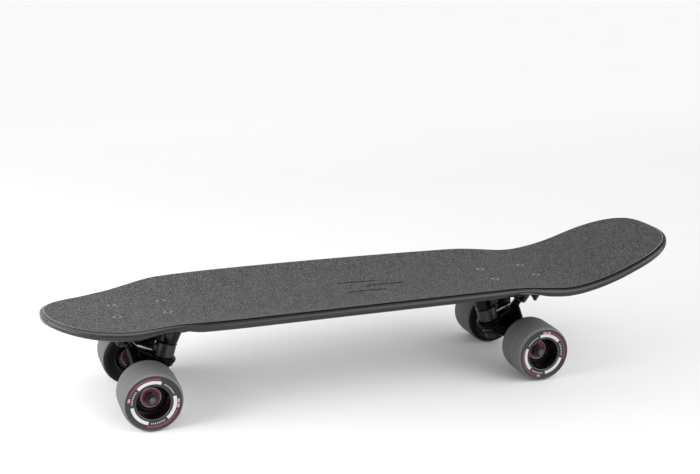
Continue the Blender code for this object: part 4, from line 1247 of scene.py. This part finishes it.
outer_rings, outer_shields = bearing_meshes(BEARING_OUT_Y - BEARING_WIDTH)
inner_rings, inner_shields = bearing_meshes(BEARING_OUT_Y - 2 * BEARING_WIDTH - SPACER)
axle_nut = nut_mesh("axle_nut_hex", 12.7, AXLE_R + 0.05, BEARING_OUT_Y + 0.6, BEARING_OUT_Y + 7.2, (5.2, 2.0, 0.6))
speed_out = washer_ring("speed_washer_out", AXLE_R + 0.1, 5.7, BEARING_OUT_Y + 0.03, BEARING_OUT_Y + 0.57)
speed_in = washer_ring("speed_washer_in", AXLE_R + 0.1, 5.7, HANGER_HALF + 0.05, HANGER_HALF + 0.85)
tube = washer_ring("spacer_tube", AXLE_R + 0.1, 5.6, BEARING_OUT_Y - BEARING_WIDTH - SPACER + 0.03, BEARING_OUT_Y - BEARING_WIDTH - 0.03)

# where along the kingpin a bushing leaves its washer and where it enters the ring
BENDS = {"upper_bushing": (BUSH_UP1 - 0.9, RING_HALF + 1.0), "lower_bushing": (BUSH_LOW1 + 0.9, -RING_HALF - 0.6)}
PRINT_TURN = {("front", "left"): 0, ("rear", "left"): 90, ("front", "right"): 180, ("rear", "right"): 270}
NUT_TURN = {("front", "left"): 0.2, ("rear", "left"): 0.5, ("front", "right"): 0.9, ("rear", "right"): 0.1}

for truck in AXLES:
    base = truck_matrix(truck)
    hanging = f"{truck}_hanger_body"
    for piece, (mesh, look, slot) in shared.items():
        bend = None
        if piece in BENDS:
            bend = (hanging, *(base @ (on_king(distance) * MM) for distance in BENDS[piece]))
        put(f"{truck}_{piece}_fine", mesh, look, board, base, [f"{truck}_{piece}"], bend)
    for index, (u, v) in bolt_places():
        place = base @ Matrix.Translation((u * MM, v * MM, 0)) @ Matrix.Rotation(math.radians(17 * index), 4, "Z")
        put(f"{truck}_deck_bolt_fine_{index}", bolt, [looks["black_steel"], looks["screw_head"], looks["screw_rim"], looks["slit"]], board, place, [f"{truck}_deck_bolt_{index}"])
        put(f"{truck}_deck_nut_fine_{index}", deck_nut, [looks["black_steel"], looks["nylon"]], board, place, [f"{truck}_deck_nut_{index}"])
    put(f"{truck}_hanger_fine", hanger, [looks["hanger"], looks["ridge"]], hanging, base, [f"{truck}_hanger"])
    put(f"{truck}_axle_fine", axle, looks["axle_steel"], hanging, base, [f"{truck}_axle"])
    for side in ("left", "right"):
        wheel = f"{truck}_{side}"
        outward = -1 if side == "left" else 1
        x = AXLES[truck][0]
        centre = Matrix.Translation((x * MM, 0, WHEEL_R * MM)) @ Matrix.Rotation(math.radians(-90 * outward), 4, "X")
        spun = centre @ Matrix.Rotation(math.radians(PRINT_TURN[truck, side]), 4, "Z")
        turned_nut = centre @ Matrix.Rotation(NUT_TURN[truck, side], 4, "Z")
        rolling = f"{wheel}_wheel"
        put(f"{wheel}_tyre_fine", tyre, [looks["tyre"], looks["tread"], looks["inner_face"]], rolling, spun, [f"{wheel}_tyre"])
        put(f"{wheel}_core_fine", core, [looks["core"], looks["core_floor"], looks["core_rim_painted_highlight"]], rolling, spun, [f"{wheel}_core"])
        put(f"{wheel}_outer_bearing_rings", outer_rings, looks["steel"], rolling, spun, [f"{wheel}_outer_bearing"])
        put(f"{wheel}_outer_bearing_shields", outer_shields, looks["shield"], rolling, spun, ())
        put(f"{wheel}_inner_bearing_rings", inner_rings, looks["steel"], rolling, spun, [f"{wheel}_inner_bearing"])
        put(f"{wheel}_inner_bearing_shields", inner_shields, looks["shield"], rolling, spun, ())
        put(f"{wheel}_bearing_spacer", tube, looks["steel"], rolling, spun, ())
        put(f"{wheel}_axle_nut_fine", axle_nut, [looks["nut_steel"], looks["nylon"]], hanging, turned_nut, [f"{wheel}_axle_nut"])
        put(f"{wheel}_speed_washer_outer", speed_out, looks["steel"], hanging, centre, ())
        put(f"{wheel}_speed_washer_inner", speed_in, looks["steel"], hanging, centre, ())


# ================================================================ floor, light and camera
def floor_look():
    """Matt paper with painted shade: a little greyer behind the board."""
    look = Look("floor_paper", colour=(0.86, 0.86, 0.86), roughness=0.75, specular=0.2)
    split = look.node("ShaderNodeSeparateXYZ")
    look.link(look.where, split.inputs[0])
    # painted shade: the floor is darkened behind the board, standing in for the board's shadow
    shade_behind_board = look.math("MULTIPLY", look.grey(split.outputs[1], 0.0, 1.0, 0.03, 0.16), look.grey(split.outputs[0], 0.0, 1.0, -0.60, -0.05))
    far = look.grey(split.outputs[1], 1.0, 0.0, 0.90, 1.60)
    level = look.math("MULTIPLY_ADD", look.math("MULTIPLY", shade_behind_board, far), -0.05, look.grey(look.noise(6.0, 3.0), 0.856, 0.864, 0.3, 0.7))
    look.use("Base Color", look.combined(level, level, level))
    return look.material


bm = bmesh.new()
bmesh.ops.create_circle(bm, cap_ends=True, segments=96, radius=9.0)
floor_plane = bpy.data.meshes.new("floor")
bm.to_mesh(floor_plane)
bm.free()
floor_plane.materials.append(floor_look())
floor = bpy.data.objects.new("floor", floor_plane)
scene.collection.objects.link(floor)


def lit_from(azimuth, elevation):
    a, e = math.radians(azimuth), math.radians(elevation)
    return (math.cos(a) * math.cos(e), math.sin(a) * math.cos(e), math.sin(e))


def studio_world():
    """A dim tent with soft glows all round but for the side in front of the board."""
    world = bpy.data.worlds.new("studio")
    world.use_nodes = True
    tree = world.node_tree

    def calc(operation, a, b=None, c=None):
        node = tree.nodes.new("ShaderNodeMath")
        node.operation = operation
        for index, value in enumerate((a, b, c)):
            if value is None:
                continue
            if isinstance(value, bpy.types.NodeSocket):
                tree.links.new(value, node.inputs[index])
            else:
                node.inputs[index].default_value = value
        return node.outputs[0]

    direction = tree.nodes.new("ShaderNodeTexCoord").outputs["Generated"]
    split = tree.nodes.new("ShaderNodeSeparateXYZ")
    tree.links.new(direction, split.inputs[0])
    height = calc("MAXIMUM", split.outputs["Z"], 0.0)
    level = calc("MULTIPLY_ADD", height, -0.20, 0.350)
    for azimuth, elevation, strength in GLOWS:
        dot = tree.nodes.new("ShaderNodeVectorMath")
        dot.operation = "DOT_PRODUCT"
        tree.links.new(direction, dot.inputs[0])
        dot.inputs[1].default_value = lit_from(azimuth, elevation)
        glow = calc("EXPONENT", calc("MULTIPLY_ADD", dot.outputs["Value"], 8.0, -8.0))
        level = calc("MULTIPLY_ADD", glow, strength, level)
    background = tree.nodes["Background"]
    tree.links.new(level, background.inputs["Color"])
    scene.world = world


GLOWS = ((300, 35, 1.62), (330, 35, 1.22), (300, 10, 1.36), (330, 10, 1.80), (0, 10, 0.85), (30, 10, 0.55),
         (60, 10, 0.84), (90, 10, 0.98), (120, 10, 0.94), (150, 10, 0.76), (215, 38, 0.34))
studio_world()


def softbox(name, azimuth, elevation, distance, size, radiance):
    """A rectangle of even light facing the board's middle."""
    lamp = bpy.data.lights.new(name, "AREA")
    lamp.shape = "RECTANGLE"
    lamp.size, lamp.size_y = size
    lamp.energy = radiance * math.pi * size[0] * size[1]
    obj = bpy.data.objects.new(name, lamp)
    scene.collection.objects.link(obj)
    away = Vector(lit_from(azimuth, elevation))
    side = Vector((-math.sin(math.radians(azimuth)), math.cos(math.radians(azimuth)), 0))
    over = away.cross(side)
    place = Vector((-0.06, 0.0, 0.06)) + away * distance
    obj.matrix_world = Matrix((
        (side.x, over.x, away.x, place.x),
        (side.y, over.y, away.y, place.y),
        (side.z, over.z, away.z, place.z),
        (0, 0, 0, 1)))
    return obj


softbox("left_softbox", 184, 22, 0.98, (0.8, 0.46), 7.7)


def make_camera():
    """The photograph's own viewpoint."""
    yaw, pitch, roll = -0.34216, 0.26745, 0.008147
    ahead = Vector((-math.sin(yaw) * math.cos(pitch), math.cos(yaw) * math.cos(pitch), -math.sin(pitch)))
    side = Vector((math.cos(yaw), math.sin(yaw), 0))
    up = side.cross(ahead)
    right = math.cos(roll) * side + math.sin(roll) * up
    top = -math.sin(roll) * side + math.cos(roll) * up
    data = bpy.data.cameras.new("camera")
    data.sensor_fit, data.sensor_width, data.lens = "HORIZONTAL", 36.0, 63.352
    data.clip_start, data.clip_end = 0.05, 50.0
    camera = bpy.data.objects.new("camera", data)
    scene.collection.objects.link(camera)
    camera.matrix_world = Matrix((
        (right.x, top.x, -ahead.x, -0.476428),
        (right.y, top.y, -ahead.y, -1.269305),
        (right.z, top.z, -ahead.z, 0.535444),
        (0, 0, 0, 1)))
    return camera


scene.camera = make_camera()
